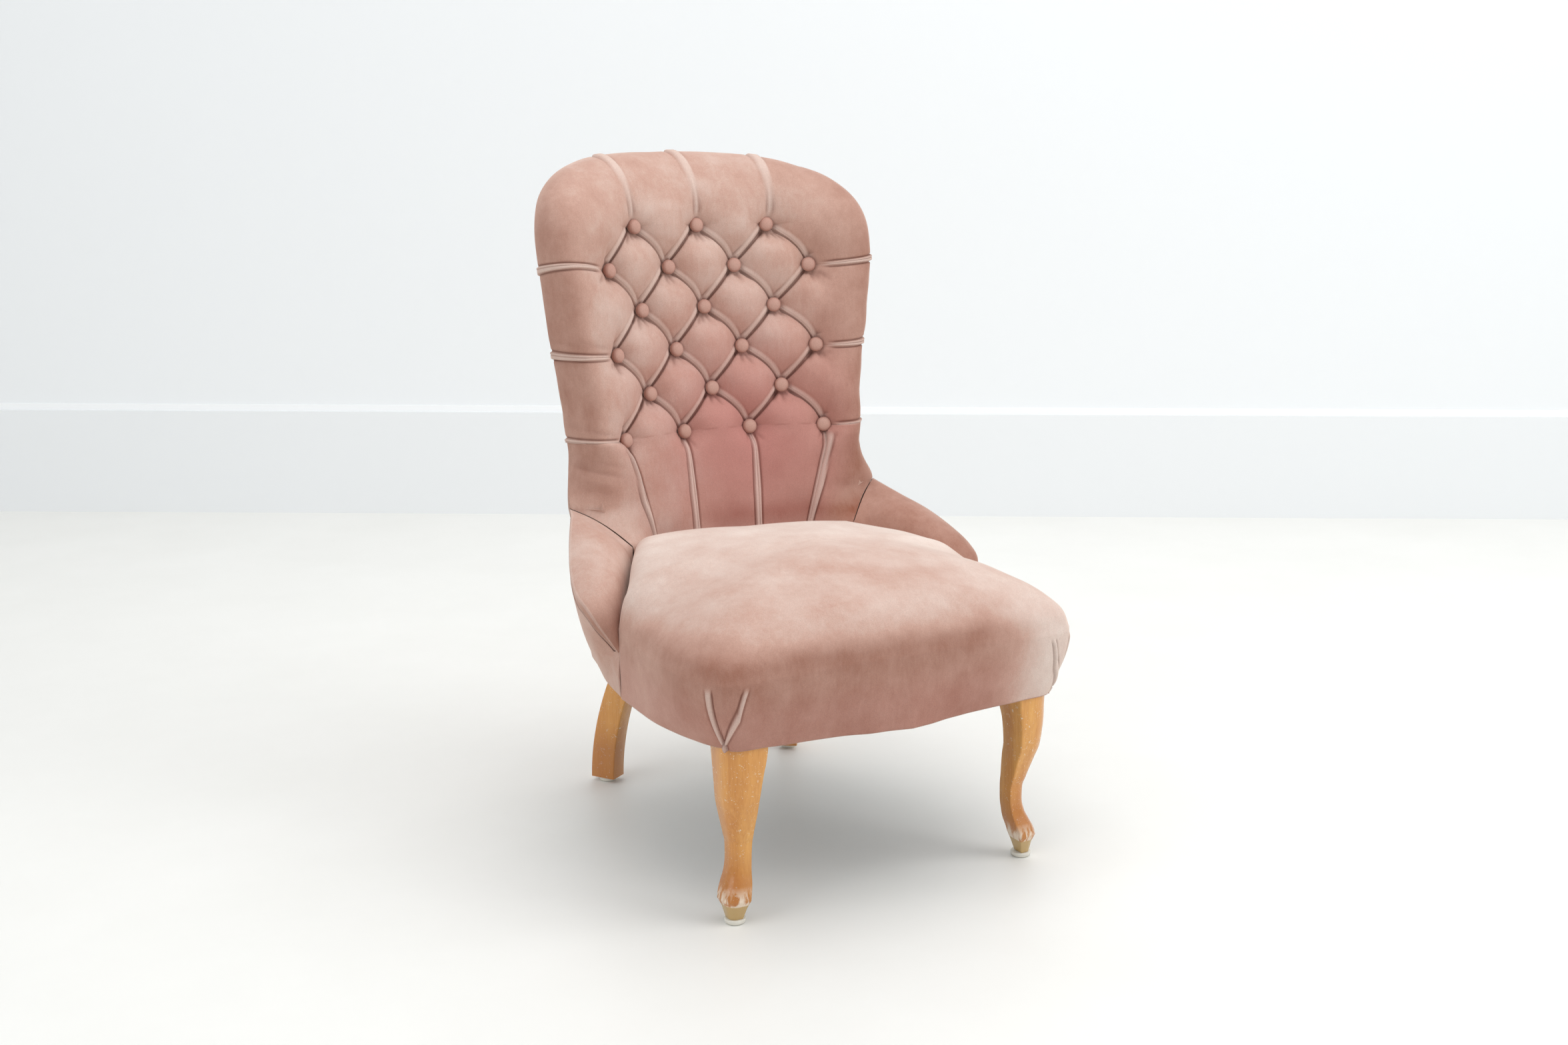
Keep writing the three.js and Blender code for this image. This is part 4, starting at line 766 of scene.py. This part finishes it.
# Rise and plan share of the crown: over the front's middle, over the corners and sides, and over the rear,
# which is fuller on the left
DOME_MIDDLE = [(-0.1, 1.0), (0.14, 0.982), (0.36, 0.93), (0.56, 0.84), (0.76, 0.64), (0.91, 0.37), (1.0, 0.0)]
DOME_FRONT = [(-0.2, 1.0), (0.05, 0.972), (0.24, 0.91), (0.43, 0.815), (0.65, 0.65), (0.86, 0.38), (1.0, 0.0)]
DOME_REAR = [(0, 1.0), (0.28, 0.992), (0.52, 0.955), (0.72, 0.86), (0.87, 0.64), (0.955, 0.34), (1.0, 0.0)]
DOME_REAR_LEFT = [(0, 1.0), (0.3, 1.0), (0.6, 1.0), (0.77, 0.955), (0.89, 0.79), (0.96, 0.45), (1.0, 0.0)]
CROWN_STEPS, CROWN_BOX = 78, (100, 33)  # a dome's curve is drawn at about the crown's real proportions
# The padding's underside: plan shares and heights of its rings, which arch up over the springs, and its middle
PAD_UNDERSIDE, PAD_MIDDLE = [(0.955, 292.4), (0.88, 286.4), (0.77, 307.4), (0.66, 328.4), (0.3, 328.4)], 328.5


def seat_curve(column, half_width, at):
    table = [(row[column], -row[column + 1] * FRONT_REACH, 0) for row in SEAT_FRONT]
    places = curve(table, at)
    places[:, 0] *= half_width
    return places


ARM_SIDE_START = seat_curve(2, HEM_HALF_WIDTH, [SIDE_START])[0]


def seat_half():
    """Right half of the seat's edge: its fullest line, its lower edge, and each place's lowest height."""
    near = np.linspace(-1, 1, 131)
    at = np.concatenate([
        np.linspace(0, PLEAT - PLEAT_REACH, 60, endpoint=False),
        PLEAT + PLEAT_REACH * (0.55 * near + 0.45 * near**3),
        np.linspace(PLEAT + PLEAT_REACH, SIDE_START, 80)[1:],
    ])
    full, low = seat_curve(0, SEAT_HALF_WIDTH, at), seat_curve(2, HEM_HALF_WIDTH, at)
    run = np.linspace(0.02, 1, 40)
    line = lerp(ARM_SIDE_START, np.array([*ARM_SIDE_END, 0]), run[:, None])
    x = ARM_SIDE_END[0] * np.linspace(1, 0, 40)[1:]
    behind = np.vstack([line, np.stack([x, SEAT_REAR - x**2 / (2 * BACK_RADIUS), 0 * x], -1)])
    base = np.repeat([float(HEM_HEIGHT), float(TUCK_HEIGHT)], [len(at), len(behind)])
    index = np.concatenate([at, lerp(SIDE_START, SIDE_END, run), np.full(len(x), float(SIDE_END))])
    return np.vstack([full, behind]), np.vstack([low, behind]), base, index


def whole(half):
    return np.concatenate([half, half[1:-1][::-1] * ((-1, 1, 1) if half.ndim > 1 else 1)])


def plan_ring(full, plan, height):
    """The seat's fullest line drawn in to a plan share, at a height."""
    ring = lerp(np.array([0, SEAT_CENTRE_Y, 0]), full, plan)
    ring[:, 2] = height
    return ring


def make_seat():
    full, low, base, index = (whole(half) for half in seat_half())
    to_corner, to_rear = smooth(index, 1, 4)[:, None], smooth(index, SIDE_START - 2, SIDE_END)[:, None]
    edge_z = SEAT_EDGE - lerp(lerp(*EDGE_DROPS, to_corner), 0, to_rear)[:, 0]
    rows, heights = [], []
    for share in np.linspace(0, 1, 44)[:-1]:
        ring = lerp(low, full, math.sin(share**0.85 * math.pi / 2))
        ring[:, 2] = lerp(base, edge_z, share)
        rows.append(ring)
        heights.append(share)
    profiles = [
        curve(np.array(dome)[:, ::-1] * CROWN_BOX, np.linspace(0, len(dome) - 1, CROWN_STEPS)) / CROWN_BOX
        for dome in (DOME_MIDDLE, DOME_FRONT, DOME_REAR, DOME_REAR_LEFT)
    ]
    for k in range(CROWN_STEPS - 1):
        middle, front, rear, left = (
            plan_ring(full, profile[k, 0], lerp(SEAT_EDGE, SEAT_CROWN, profile[k, 1])) for profile in profiles
        )
        rear = lerp(rear, left, smooth(-full[:, :1], 0, 170))
        rows.append(lerp(lerp(middle, front, to_corner), rear, to_rear))
        heights.append(1 + k / CROWN_STEPS)
    columns = len(full)
    places = np.vstack([*rows, [[0, SEAT_CENTRE_Y, SEAT_CROWN]]])
    last = (len(rows) - 1) * columns + np.arange(columns)
    hub = np.full(columns, len(rows) * columns)
    fan = np.stack([last, np.roll(last, -1), hub, np.full(columns, -1)], -1)
    faces = np.vstack([grid_faces(len(rows), columns, closed=True), fan])
    normals = normals_of(places, faces)
    crease, band, lift = (np.zeros(len(places)) for _ in range(3))

    # V pleats at both front corners, with painted shade in their grooves and tuck and a painted highlight on
    # their rolls
    height = np.repeat(heights, columns)
    at = np.tile(index, len(rows))
    rise = np.clip((height - 0.06) / 0.86, 0, 1)
    strength = smooth(0.97 - height, 0.0, 0.12)
    for leg, half in ((-1, 2.5), (1, 4.4)):  # the mesh is wider drawn on the front than round the corner
        middle = lerp(4.62, 4.32, rise) + leg * 0.66 * rise**0.62
        distance = (at - middle) * PLACE_WIDTH
        roll = np.sqrt(np.clip(1 - (distance / half) ** 2, 0, 1))
        groove = bump(distance + leg * (half + 0.8), 1.2) + 0.6 * bump(distance - leg * (half + 0.8), 1.0)
        lift[:-1] += strength * (2.4 * roll - 1.6 * groove)
        crease[:-1] = np.maximum(crease[:-1], np.clip(strength * groove * 0.8, 0, 1))
        band[:-1] = np.maximum(band[:-1], strength * roll)
    tuck = bump((at - lerp(4.62, 4.5, rise)) * PLACE_WIDTH, 1.2) * smooth(0.45 - height, 0, 0.2)
    lift[:-1] -= 1.2 * tuck
    crease[:-1] = np.maximum(crease[:-1], 0.6 * tuck)

    # Gentle hills on the top and on the sides, and a little swell over the lower edge
    x, y, z = places[:-1].T
    lift[:-1] += 1.6 * value_noise(x / 60 + 9, y / 55 + z / 70, 3) * smooth(z, 300, 340)
    lift[:-1] += 0.8 * value_noise(x / 26, z / 60 + y / 40, 4) * smooth(330 - z, 0, 30)
    lift[:-1] += 1.0 * bump(height, 0.05)
    places = places + normals * lift[:, None]

    # The cover turns under at its lower edge, and the padding's underside closes it
    inward = -normals[:columns] * (1, 1, 0)
    inward /= np.maximum(np.linalg.norm(inward, axis=1), 1e-9)[:, None]
    rings = [
        places[:columns] + inward * distance + (0, 0, up)
        for distance, up in ((0.4, -1.4), (2.2, -0.8), (2.6, 4.0))
    ]
    inner = lerp(low, full, 0.35) + inward * 2.6
    inner[:, 2] = TUCK_HEIGHT + 8
    rings += [inner, *(plan_ring(full, plan, up) for plan, up in PAD_UNDERSIDE)]
    hub = [[0, SEAT_CENTRE_Y, PAD_MIDDLE]]
    points, all_faces = closed_with(places, faces, np.arange(columns), rings, hub)
    pad = np.zeros(len(points) - len(places))

    # The pile's tone, with painted light and shade: painted light on top, most at the rear and to the right,
    # and painted shade down the front and along its upper edge
    x, y, z = places.T
    right = smooth(x, 90, 215)
    face = 0.27 + 0.55 * right + 0.15 * smooth(y, -235, -150) * smooth(-x, 100, 200)
    top = 0.62 + 0.12 * right + 0.15 * smooth(x + 0.8 * y, -190, 90) * smooth(z, 340, 380)
    top += 0.25 * smooth(y, -180, 60)
    edge = lerp(302, 286, right)
    tone = lerp(face, top, smooth(z, edge, edge + 50))
    tone -= 0.08 * bump(z - edge - 12, 15) * smooth(-y, 60, 180) * (1 - right)
    blush = 0.25 * smooth(300 - z, 0, 60) * (1 - right)
    piece = velvet_piece(
        "seat_cushion", points, all_faces,
        crease=np.concatenate([crease, pad]), band=np.concatenate([band, pad]),
        tone=np.concatenate([tone, pad + 0.3]), blush=np.concatenate([blush, pad]),
    )
    settle(piece, "velvet", "seat_cover", "seat_padding")


# Arms: shares of the spread, the run back and the rise of the outer edge, of the seat's side line and the rise
# of the inner edge, and of the padding's fullness
ARM_ROWS = [
    (0.864, -0.015, 0.05, 0, 0.09, 0.1), (0.9, -0.01, 0.16, 0.015, 0.17, 0.3),
    (0.944, 0.005, 0.29, 0.06, 0.28, 0.5), (0.977, 0.06, 0.415, 0.15, 0.42, 0.75),
    (0.992, 0.19, 0.51, 0.3, 0.565, 1), (0.974, 0.34, 0.615, 0.5, 0.65, 1.1),
    (0.92, 0.56, 0.764, 0.7, 0.69, 1.1), (0.86, 0.77, 0.87, 0.86, 0.683, 1.0),
    (0.807, 0.945, 0.963, 0.97, 0.634, 0.7),
]
ARM_STEPS, ARM_ACROSS, ARM_TUCK = 14, 44, 17


def arm_rows():
    """Rows of points across the right arm, from its tip back to the seam with the back."""
    height = lambda share: lerp(ARM_TIP_Z, SEAM_OUTER[2], share)
    outer, inner, full = [], [], []
    for spread_share, run, rise, side, inner_rise, fullness in ARM_ROWS:
        outer.append((spread_share * ARM_SPREAD, lerp(ARM_TIP_Y, SEAM_OUTER[1], run), height(rise)))
        clear = 1.2 * min(1, side * 20) + 0.3
        x = lerp(ARM_SIDE_START[0], ARM_SIDE_END[0], side) + clear
        inner.append((x, lerp(ARM_SIDE_START[1], ARM_SIDE_END[1], side) + clear, height(inner_rise)))
        full.append(fullness)
    outer.append((SEAM_OUTER[0] + 0.4, edge_reach(SEAM_OUTER[0], SEAM_OUTER[2]) - 0.6, SEAM_OUTER[2] - 0.6))
    inner.append((SEAM_INNER[0] + 0.6, SEAM_INNER[1] - 0.4, SEAM_INNER[2] - 0.6))
    full.append(SEAM_BOW / ARM_CROWN)
    last = len(outer) - 1
    at = np.linspace(0, last, last * ARM_STEPS + 1)
    outer, inner = curve(outer, at), curve(inner, at)
    full = np.interp(at, range(last + 1), full)
    level = np.minimum(1, at / 4)[:, None]
    outward = np.column_stack([0 * at, level[:, 0] - 1, level[:, 0]])
    outward /= np.linalg.norm(outward, axis=1)[:, None]
    seam = outer - outward * 12 + np.column_stack([-level[:, 0] * FABRIC, 0 * at, 0 * at])
    along = np.array([ARM_SIDE_END[0] - ARM_SIDE_START[0], ARM_SIDE_END[1] - ARM_SIDE_START[1], 0.0])
    tuck = inner + along * 8 / np.linalg.norm(along) * (1 - level)
    low = np.minimum(np.maximum(inner[:, 2] - 72, TUCK_HEIGHT), inner[:, 2] - 12)
    tuck[:, 2] = lerp(inner[:, 2], low, level[:, 0])
    shares = np.linspace(0, 1, ARM_ACROSS)
    rows = []
    for k in range(len(at)):
        power = lerp(0.8, 1.0, float(smooth(at[k], last - 1, last)))
        swell = ARM_CROWN * full[k] * np.sin(np.pi * shares) ** power
        over = lerp(outer[k], inner[k], shares[:, None]) + swell[:, None] * outward[k]
        wall = lerp(seam[k], outer[k], np.linspace(0, 1, 7)[:-1, None])
        rows.append(np.vstack([wall, over, lerp(inner[k], tuck[k], np.linspace(0, 1, ARM_TUCK)[1:, None])]))
    rows = np.array(rows)
    # the inner side rounds over towards the seat
    columns = np.arange(rows.shape[1])
    soft = smooth(columns, 24, 36) * smooth(rows.shape[1] - 1 - columns, 2, 7)
    share = (soft[None, :, None] * np.clip((last - at) / 1.2, 0.0, 1.0)[:, None, None])[:, 1:-1]
    for _ in range(90):
        rows[:, 1:-1] += 0.5 * share * ((rows[:, :-2] + rows[:, 2:]) / 2 - rows[:, 1:-1])
    return rows


def make_arm(name, mirror):
    rows = arm_rows()
    count_rows, across, _ = rows.shape
    places = rows.reshape(-1, 3)
    faces = grid_faces(count_rows, across)[:, ::-1]
    normals = normals_of(places, faces)
    if normals[:, 2].mean() < 0:
        faces, normals = faces[:, ::-1], -normals
    depth = np.maximum(9.0 * np.sin(np.pi * np.linspace(0.08, 0.92, across)), 2.4)
    points, all_faces = thickened(places, faces, normals, np.tile(depth, count_rows)[:, None])
    points = points * ((-1, 1, 1) if mirror else (1, 1, 1))
    zero, paler_patch = np.zeros(len(points)), np.zeros((2, count_rows, across))
    # a painted highlight along the outer side's edge
    paler_patch[0, :, 5:8] = 0.5  # the outer side's edge
    # painted light and shade: the left arm lighter towards its top, the right arm darker all over
    piece = velvet_piece(
        name, points, all_faces, crease=zero, band=paler_patch.reshape(-1), blush=zero,
        tone=lerp(0.28, 0.58, smooth(points[:, 2], 305, 355)) if mirror else zero + 0.27,
    )
    side = "left" if mirror else "right"
    settle(piece, "velvet", f"arm_cover_{side}", f"arm_padding_{side}")


# Outside cover: from the lower edge up to the back's outer edge and the arm's seam
HEM_REAR = [
    (0, 1), (0.3, 0.992), (0.5, 0.957), (0.645, 0.88), (0.755, 0.765), (0.825, 0.665), (0.888, 0.396),
    (0.956, 0.104), (0.995, -0.19),
]
# Places in that table below the top's middle and corner, the seam, and both ends of the run round the arm's tip
HEM_MARKS, TIP_STEPS = (0, 3.2, 5, 7.2, 8), 14


def make_outside():
    top_column, top_row = COLUMNS + EDGE, TOP_ROW + EDGE
    c = np.linspace(0, top_column, 90)
    top = edge_place(c, np.full(len(c), float(top_row)))
    r = np.linspace(top_row, -OPEN, 120)[1:]
    side = edge_place(np.full(len(r), float(top_column)), r)
    turned = rolled_back(np.concatenate([np.full(len(top), float(TOP_ROW)), r]))[:, None]
    edge = np.vstack([top, side])
    middle = np.array([0, 0, 640])
    inward = (middle - edge) * (1, 0, 1)
    inward /= np.linalg.norm(inward, axis=1)[:, None]
    # it is tucked in behind the edge roll, and stands clear of its rear
    drawn_in = ROLL_BACK * (1 - math.cos(ROLL_TURN)) + 1.4
    behind = lerp(4.95, ROLL_BACK * math.sin(ROLL_TURN) + 2.6, turned)
    edge = edge + inward * drawn_in * turned + np.array([0, 1, 0]) * behind
    seam = arm_rows()[:, 0][::-1]
    level = np.minimum(1, np.linspace(9, 0, len(seam)) / 4)[:, None]
    room = 0.65 + (1 - level) * 1.5
    arm = seam + np.array([0, 1, 0]) * (2.55 * level + 0.6) - np.array([0, 0, 1]) * room
    nose = arm_rows()[0, -ARM_TUCK] + (0.3, 0.5, -1.5)
    tip = lerp(arm[-1], nose, np.linspace(0, 1, TIP_STEPS)[1:, None])
    high = np.vstack([edge, arm[1:], tip])
    start, corner, seam_end, tip_start, end = HEM_MARKS
    at = np.concatenate([
        lerp(start, corner, np.arange(len(top)) / len(top)),
        lerp(corner, seam_end, np.arange(len(side)) / len(side)),
        lerp(seam_end, tip_start, np.arange(len(arm) - 1) / (len(arm) - 2)),
        np.linspace(tip_start, end, TIP_STEPS)[1:],
    ])
    low = curve([(x * HEM_HALF_WIDTH, y * REAR_REACH, HEM_HEIGHT) for x, y in HEM_REAR], at)
    rows = []
    shares = np.linspace(0, 1, 70)
    for share in shares:
        ring = lerp(low, high, share)
        outward = ring * (1, 1, 0) - (0, REAR_REACH / 4, 0)
        outward /= np.linalg.norm(outward, axis=1)[:, None]
        ring = ring + outward * 4 * np.sin(np.pi * share)
        # above the arms it keeps within the back's outline
        reach = edge_reach(edge_half_width(ring[:, 2]), ring[:, 2])
        over = ring[:, 0] - (edge_half_width(ring[:, 2]) - 1.0 * (ring[:, 1] - reach))
        over = np.log1p(np.exp(np.clip(over / 5, -30, 30))) * 5
        above_arm = smooth(ring[:, 2], SEAM_OUTER[2] - 20, SEAM_OUTER[2] + 60)
        ring[:, 0] -= over * above_arm * smooth(1 - share, 0.0, 0.03)
        rows.append(ring)
    half = np.array(rows)
    # the cloth is drawn smooth where the tucked side meets the arm
    height = half[1:-1, 1:-1, 2]
    near_arm = smooth(half[1:-1, 1:-1, 0], 150, 190) * smooth(height, 330, 380) * smooth(560 - height, 0, 60)
    near_arm = (near_arm * smooth(1 - shares[1:-1], 0.0, 0.04)[:, None])[..., None]
    for _ in range(60):
        around = (half[:-2, 1:-1] + half[2:, 1:-1] + half[1:-1, :-2] + half[1:-1, 2:]) / 4
        half[1:-1, 1:-1] += 0.8 * near_arm * (around - half[1:-1, 1:-1])
    full = np.concatenate([half[:, 1:][:, ::-1] * (-1, 1, 1), half], 1)
    count_rows, across, _ = full.shape
    places = full.reshape(-1, 3)
    faces = grid_faces(count_rows, across)
    normals = normals_of(places, faces)
    if (normals * (places * (1, 1, 0) - (0, 40, 0))).sum(1).mean() < 0:
        faces, normals = faces[:, ::-1], -normals
    points, all_faces = thickened(places, faces, normals, FABRIC)
    zero = np.zeros(len(points))
    tone = 0.45 + 0.1 * smooth(np.abs(points[:, 0]), 120, 230)
    piece = velvet_piece(
        "outside_back_and_arms", points, all_faces, crease=zero, band=zero, tone=tone, blush=zero)
    settle(piece, "velvet", "outside_cover")


# Legs: shares of the height under the upholstery, of the knee's width, and of the lean towards the middle
KNEE_WIDTH, LEG_LEAN, KNEE_ROUND, LEG_CORNER = 49.5, 14.6, 27, 2.6
KNEE_DRIFT = (-8.5, 1)  # the knee stands in from the foot by this much
FRONT_FOOT, REAR_FOOT = (201.6, -250), (145, 244)
LEG_BOTTOM, REAR_LEG_TOP = 6.6, 225  # a leg starts above its glide
FRONT_LEG_FOOT = [(0.03, 0.31, -0.07), (0.092, 0.45, 0)]
FRONT_LEG = [
    (0.135, 0.6, 0), (0.168, 0.605, 0.14), (0.225, 0.56, 0.55), (0.28, 0.495, 0.84), (0.345, 0.475, 1),
    (0.415, 0.485, 0.99), (0.475, 0.54, 0.8), (0.535, 0.61, 0.58), (0.61, 0.7, 0.27), (0.7, 0.785, -0.1),
    (0.83, 0.88, -0.25), (0.92, 0.96, -0.15), (1.0, 1.0, -0.07), (1.08, 0.9, -0.02), (1.304, 0.68, 0),
]
REAR_LEG_DEPTH, REAR_LEG_WIDTH, REAR_LEG_CORNER = 36.5, 27.5, 1.8
REAR_LEG_TURN, REAR_LEG_SWEEP = math.radians(34), 68
GLIDE_RADIUS, GLIDE_HEIGHT = 12.4, 6.2


def drawn_leg(name, node, rings, width, depth, turn, corners):
    """A leg drawn up from its foot through rings, which are middles and shares of the width.

    A corner is a way along x, a way along y and the radius it is rounded to.
    """
    deselect()
    bpy.ops.mesh.primitive_plane_add(size=1)
    piece = bpy.context.object
    piece.name = name
    middle, size = Vector(rings[0][0]), rings[0][1]
    origin = (0, 0, 0)
    bpy.ops.object.mode_set(mode="EDIT")
    bpy.ops.mesh.select_mode(type="VERT")
    bpy.ops.transform.resize(value=(width, depth, 1), center_override=origin)
    section = bmesh.from_edit_mesh(piece.data)
    for right, rear, radius in corners:
        bpy.ops.mesh.select_all(action="DESELECT")
        far = max(section.verts, key=lambda vertex: right * vertex.co.x + rear * vertex.co.y)
        far.select_set(True)
        bpy.ops.mesh.bevel(offset=radius, segments=max(3, round(radius * 400)), affect="VERTICES")
    bpy.ops.mesh.select_all(action="SELECT")
    bpy.ops.transform.resize(value=(size, size, 1), center_override=origin)
    bpy.ops.transform.rotate(value=turn, orient_axis="Z", center_override=origin)
    bpy.ops.transform.translate(value=middle)
    for place, next_size in rings[1:]:
        place = Vector(place)
        bpy.ops.mesh.extrude_region_move(TRANSFORM_OT_translate={"value": place - middle})
        grow = next_size / size
        bpy.ops.transform.resize(value=(grow, grow, 1), center_override=place)
        middle, size = place, next_size
    bpy.ops.mesh.select_all(action="SELECT")
    bpy.ops.mesh.normals_make_consistent(inside=False)
    bpy.ops.object.mode_set(mode="OBJECT")
    bpy.ops.object.shade_smooth_by_angle(angle=math.radians(38))
    piece.data.materials.append(materials["varnished_beech"])
    settle(piece, "varnished_beech", node)


def make_legs():
    diagonal = math.sqrt(0.5)
    for side, word in ((1, "right"), (-1, "left")):
        rings = []
        for height, size, lean in (*FRONT_LEG_FOOT, *curve(FRONT_LEG, np.linspace(0, len(FRONT_LEG) - 1, 71))):
            drift = float(smooth(height, 0.35, 0.95))
            out = 5 * size - lean * LEG_LEAN  # the middle of the section lies out by the flatter knee's share
            x = side * (FRONT_FOOT[0] + out * diagonal + drift * KNEE_DRIFT[0])
            y = FRONT_FOOT[1] - out * diagonal + drift * KNEE_DRIFT[1] + REAR_SHIFT
            rings.append(((x / 1000, y / 1000, max(height * HEM_HEIGHT, LEG_BOTTOM) / 1000), size))
        knee, other, wide = KNEE_ROUND / 1000, LEG_CORNER / 1000, KNEE_WIDTH / 1000
        corners = [(side, -1, knee), (side, 1, other), (-side, -1, other), (-side, 1, other)]
        drawn_leg(f"cabriole_leg_{word}", f"front_leg_{word}", rings, wide, wide, 0, corners)

        back = Vector((side * math.sin(REAR_LEG_TURN), math.cos(REAR_LEG_TURN), 0))
        rings = []
        for share in np.linspace(0, 1, 40):
            height = lerp(LEG_BOTTOM, REAR_LEG_TOP, share)
            place = Vector((side * REAR_FOOT[0], REAR_FOOT[1] + REAR_SHIFT, height))
            rings.append(((place - back * REAR_LEG_SWEEP * share**1.9) / 1000, 1.0))
        width, depth = REAR_LEG_WIDTH / 1000, REAR_LEG_DEPTH / 1000
        corners = [(right, rear, REAR_LEG_CORNER / 1000) for right in (-1, 1) for rear in (-1, 1)]
        drawn_leg(
            f"sabre_leg_{word}", f"rear_leg_{word}", rings, width, depth, side * REAR_LEG_TURN, corners)


# Glides: a domed nylon disc under each foot
def make_glides():
    deselect()
    bpy.ops.mesh.primitive_cylinder_add(
        vertices=48, radius=GLIDE_RADIUS / 1000, depth=GLIDE_HEIGHT / 1000,
        location=(0, 0, GLIDE_HEIGHT / 2000))
    master = bpy.context.object
    bpy.ops.object.transform_apply(location=True)
    bpy.ops.object.mode_set(mode="EDIT")
    bpy.ops.mesh.select_mode(type="FACE")
    shape = bmesh.from_edit_mesh(master.data)
    # the dome below, then the rim above
    for way, width, steps, profile in ((-1, 0.0042, 5, 0.55), (1, 0.0007, 2, 0.5)):
        bpy.ops.mesh.select_all(action="DESELECT")
        for face in shape.faces:
            face.select_set(face.normal.z * way > 0.9)
        bpy.ops.mesh.bevel(offset=width, segments=steps, profile=profile)
    bpy.ops.mesh.select_all(action="SELECT")
    bpy.ops.mesh.normals_make_consistent(inside=False)
    bpy.ops.object.mode_set(mode="OBJECT")
    master.data.shade_smooth()
    for end, (x, y) in (("front", FRONT_FOOT), ("rear", REAR_FOOT)):
        for side, word in ((1, "right"), (-1, "left")):
            place = Matrix.Translation((side * x / 1000, (y + REAR_SHIFT) / 1000, 0))
            settle_copy(master, f"nylon_glide_{end}_{word}", place, "white_nylon", f"{end}_glide_{word}")
    bpy.data.objects.remove(master)


def finish_cad_nodes():
    for part in frame["record"]["subparts"]:
        node = frame["nodes"][part["node"]]
        node.data.materials.clear()
        node.data.materials.append(materials[part["material_slot"]])


# Room and light: a pale concrete floor, and a plain painted wall with a low ledge
WALL_DISTANCE, WALL_TURN = 4.07, -0.012  # from the camera, and how far the wall turns from its view


def make_stage():
    deselect()
    view = Vector((math.sin(-CAMERA_TURN), math.cos(CAMERA_TURN), 0))
    bpy.ops.mesh.primitive_plane_add(size=24, location=(0, 0, 0))
    floor = bpy.context.object
    floor.name = "floor"
    # polished concrete: nearly white, with broad faint clouds and a soft sheen
    floor.data.materials.append(plain_material("pale_concrete", "#F4F3EF", "#ECEBE6", 260, 0.5))
    foot = Vector(CAMERA_PLACE) + view * WALL_DISTANCE
    for name, height, back, shade in (
        ("wall", 6.0, 0.05, "#F3F5F6"),
        ("wall_foot", 0.248, 0.03, "#F0F2F3"),
        ("wall_ledge", 0.262, 0.045, "#FBFCFC"),
    ):
        deselect()
        bpy.ops.mesh.primitive_cube_add(size=1)
        panel = bpy.context.object
        panel.name = name
        panel.scale = (16, 0.2, height)
        panel.rotation_euler = (0, 0, math.atan2(view.y, view.x) - math.pi / 2 + WALL_TURN)
        panel.location = (foot.x + view.x * (0.1 + back), foot.y + view.y * (0.1 + back), height / 2)
        bpy.ops.object.transform_apply(location=True, rotation=True, scale=True)
        # matt emulsion paint: one flat, cool white
        panel.data.materials.append(plain_material(f"painted_{name}", shade, shade, 400, 0.6))


def make_light():
    bpy.context.scene.view_settings.view_transform = "Standard"  # keeps the colours as they are given
    world = bpy.data.worlds.new("soft_daylight")
    bpy.context.scene.world = world
    world.use_nodes = True
    world.node_tree.nodes["Background"].inputs["Color"].default_value = linear("#F2F5F8")
    world.node_tree.nodes["Background"].inputs["Strength"].default_value = 0.62
    for name, place, size, power in (
        ("window", (2.8, -2.4, 2.7), 2.6, 52),
        ("far_window", (-3.2, -0.6, 2.7), 2.4, 25),
        ("ceiling", (0.2, -0.5, 3.6), 3.5, 60),
    ):
        bpy.ops.object.light_add(type="AREA", location=place)
        light = bpy.context.object
        light.name = name
        light.data.size = size
        light.data.energy = power
        light.rotation_euler = (Vector((0, 0, 0.4)) - Vector(place)).to_track_quat("-Z", "Y").to_euler()


def make_camera():
    a, e, roll = CAMERA_TURN, CAMERA_PITCH, CAMERA_ROLL
    forward = Vector((-math.sin(a) * math.cos(e), math.cos(a) * math.cos(e), -math.sin(e)))
    right = Vector((math.cos(a), math.sin(a), 0))
    up = right.cross(forward)
    turned = right * math.cos(roll) + up * math.sin(roll)
    bpy.ops.object.camera_add(location=CAMERA_PLACE)
    camera = bpy.context.object
    axes = Matrix((turned, turned.cross(forward), -forward)).transposed()
    camera.rotation_euler = axes.to_euler()
    camera.data.sensor_width = 36
    camera.data.lens = CAMERA_LENS
    bpy.context.scene.camera = camera


make_camera()
make_light()
make_stage()
finish_cad_nodes()
make_back()
make_buttons()
make_seat()
make_arm("right_arm", False)
make_arm("left_arm", True)
make_outside()
make_legs()
make_glides()
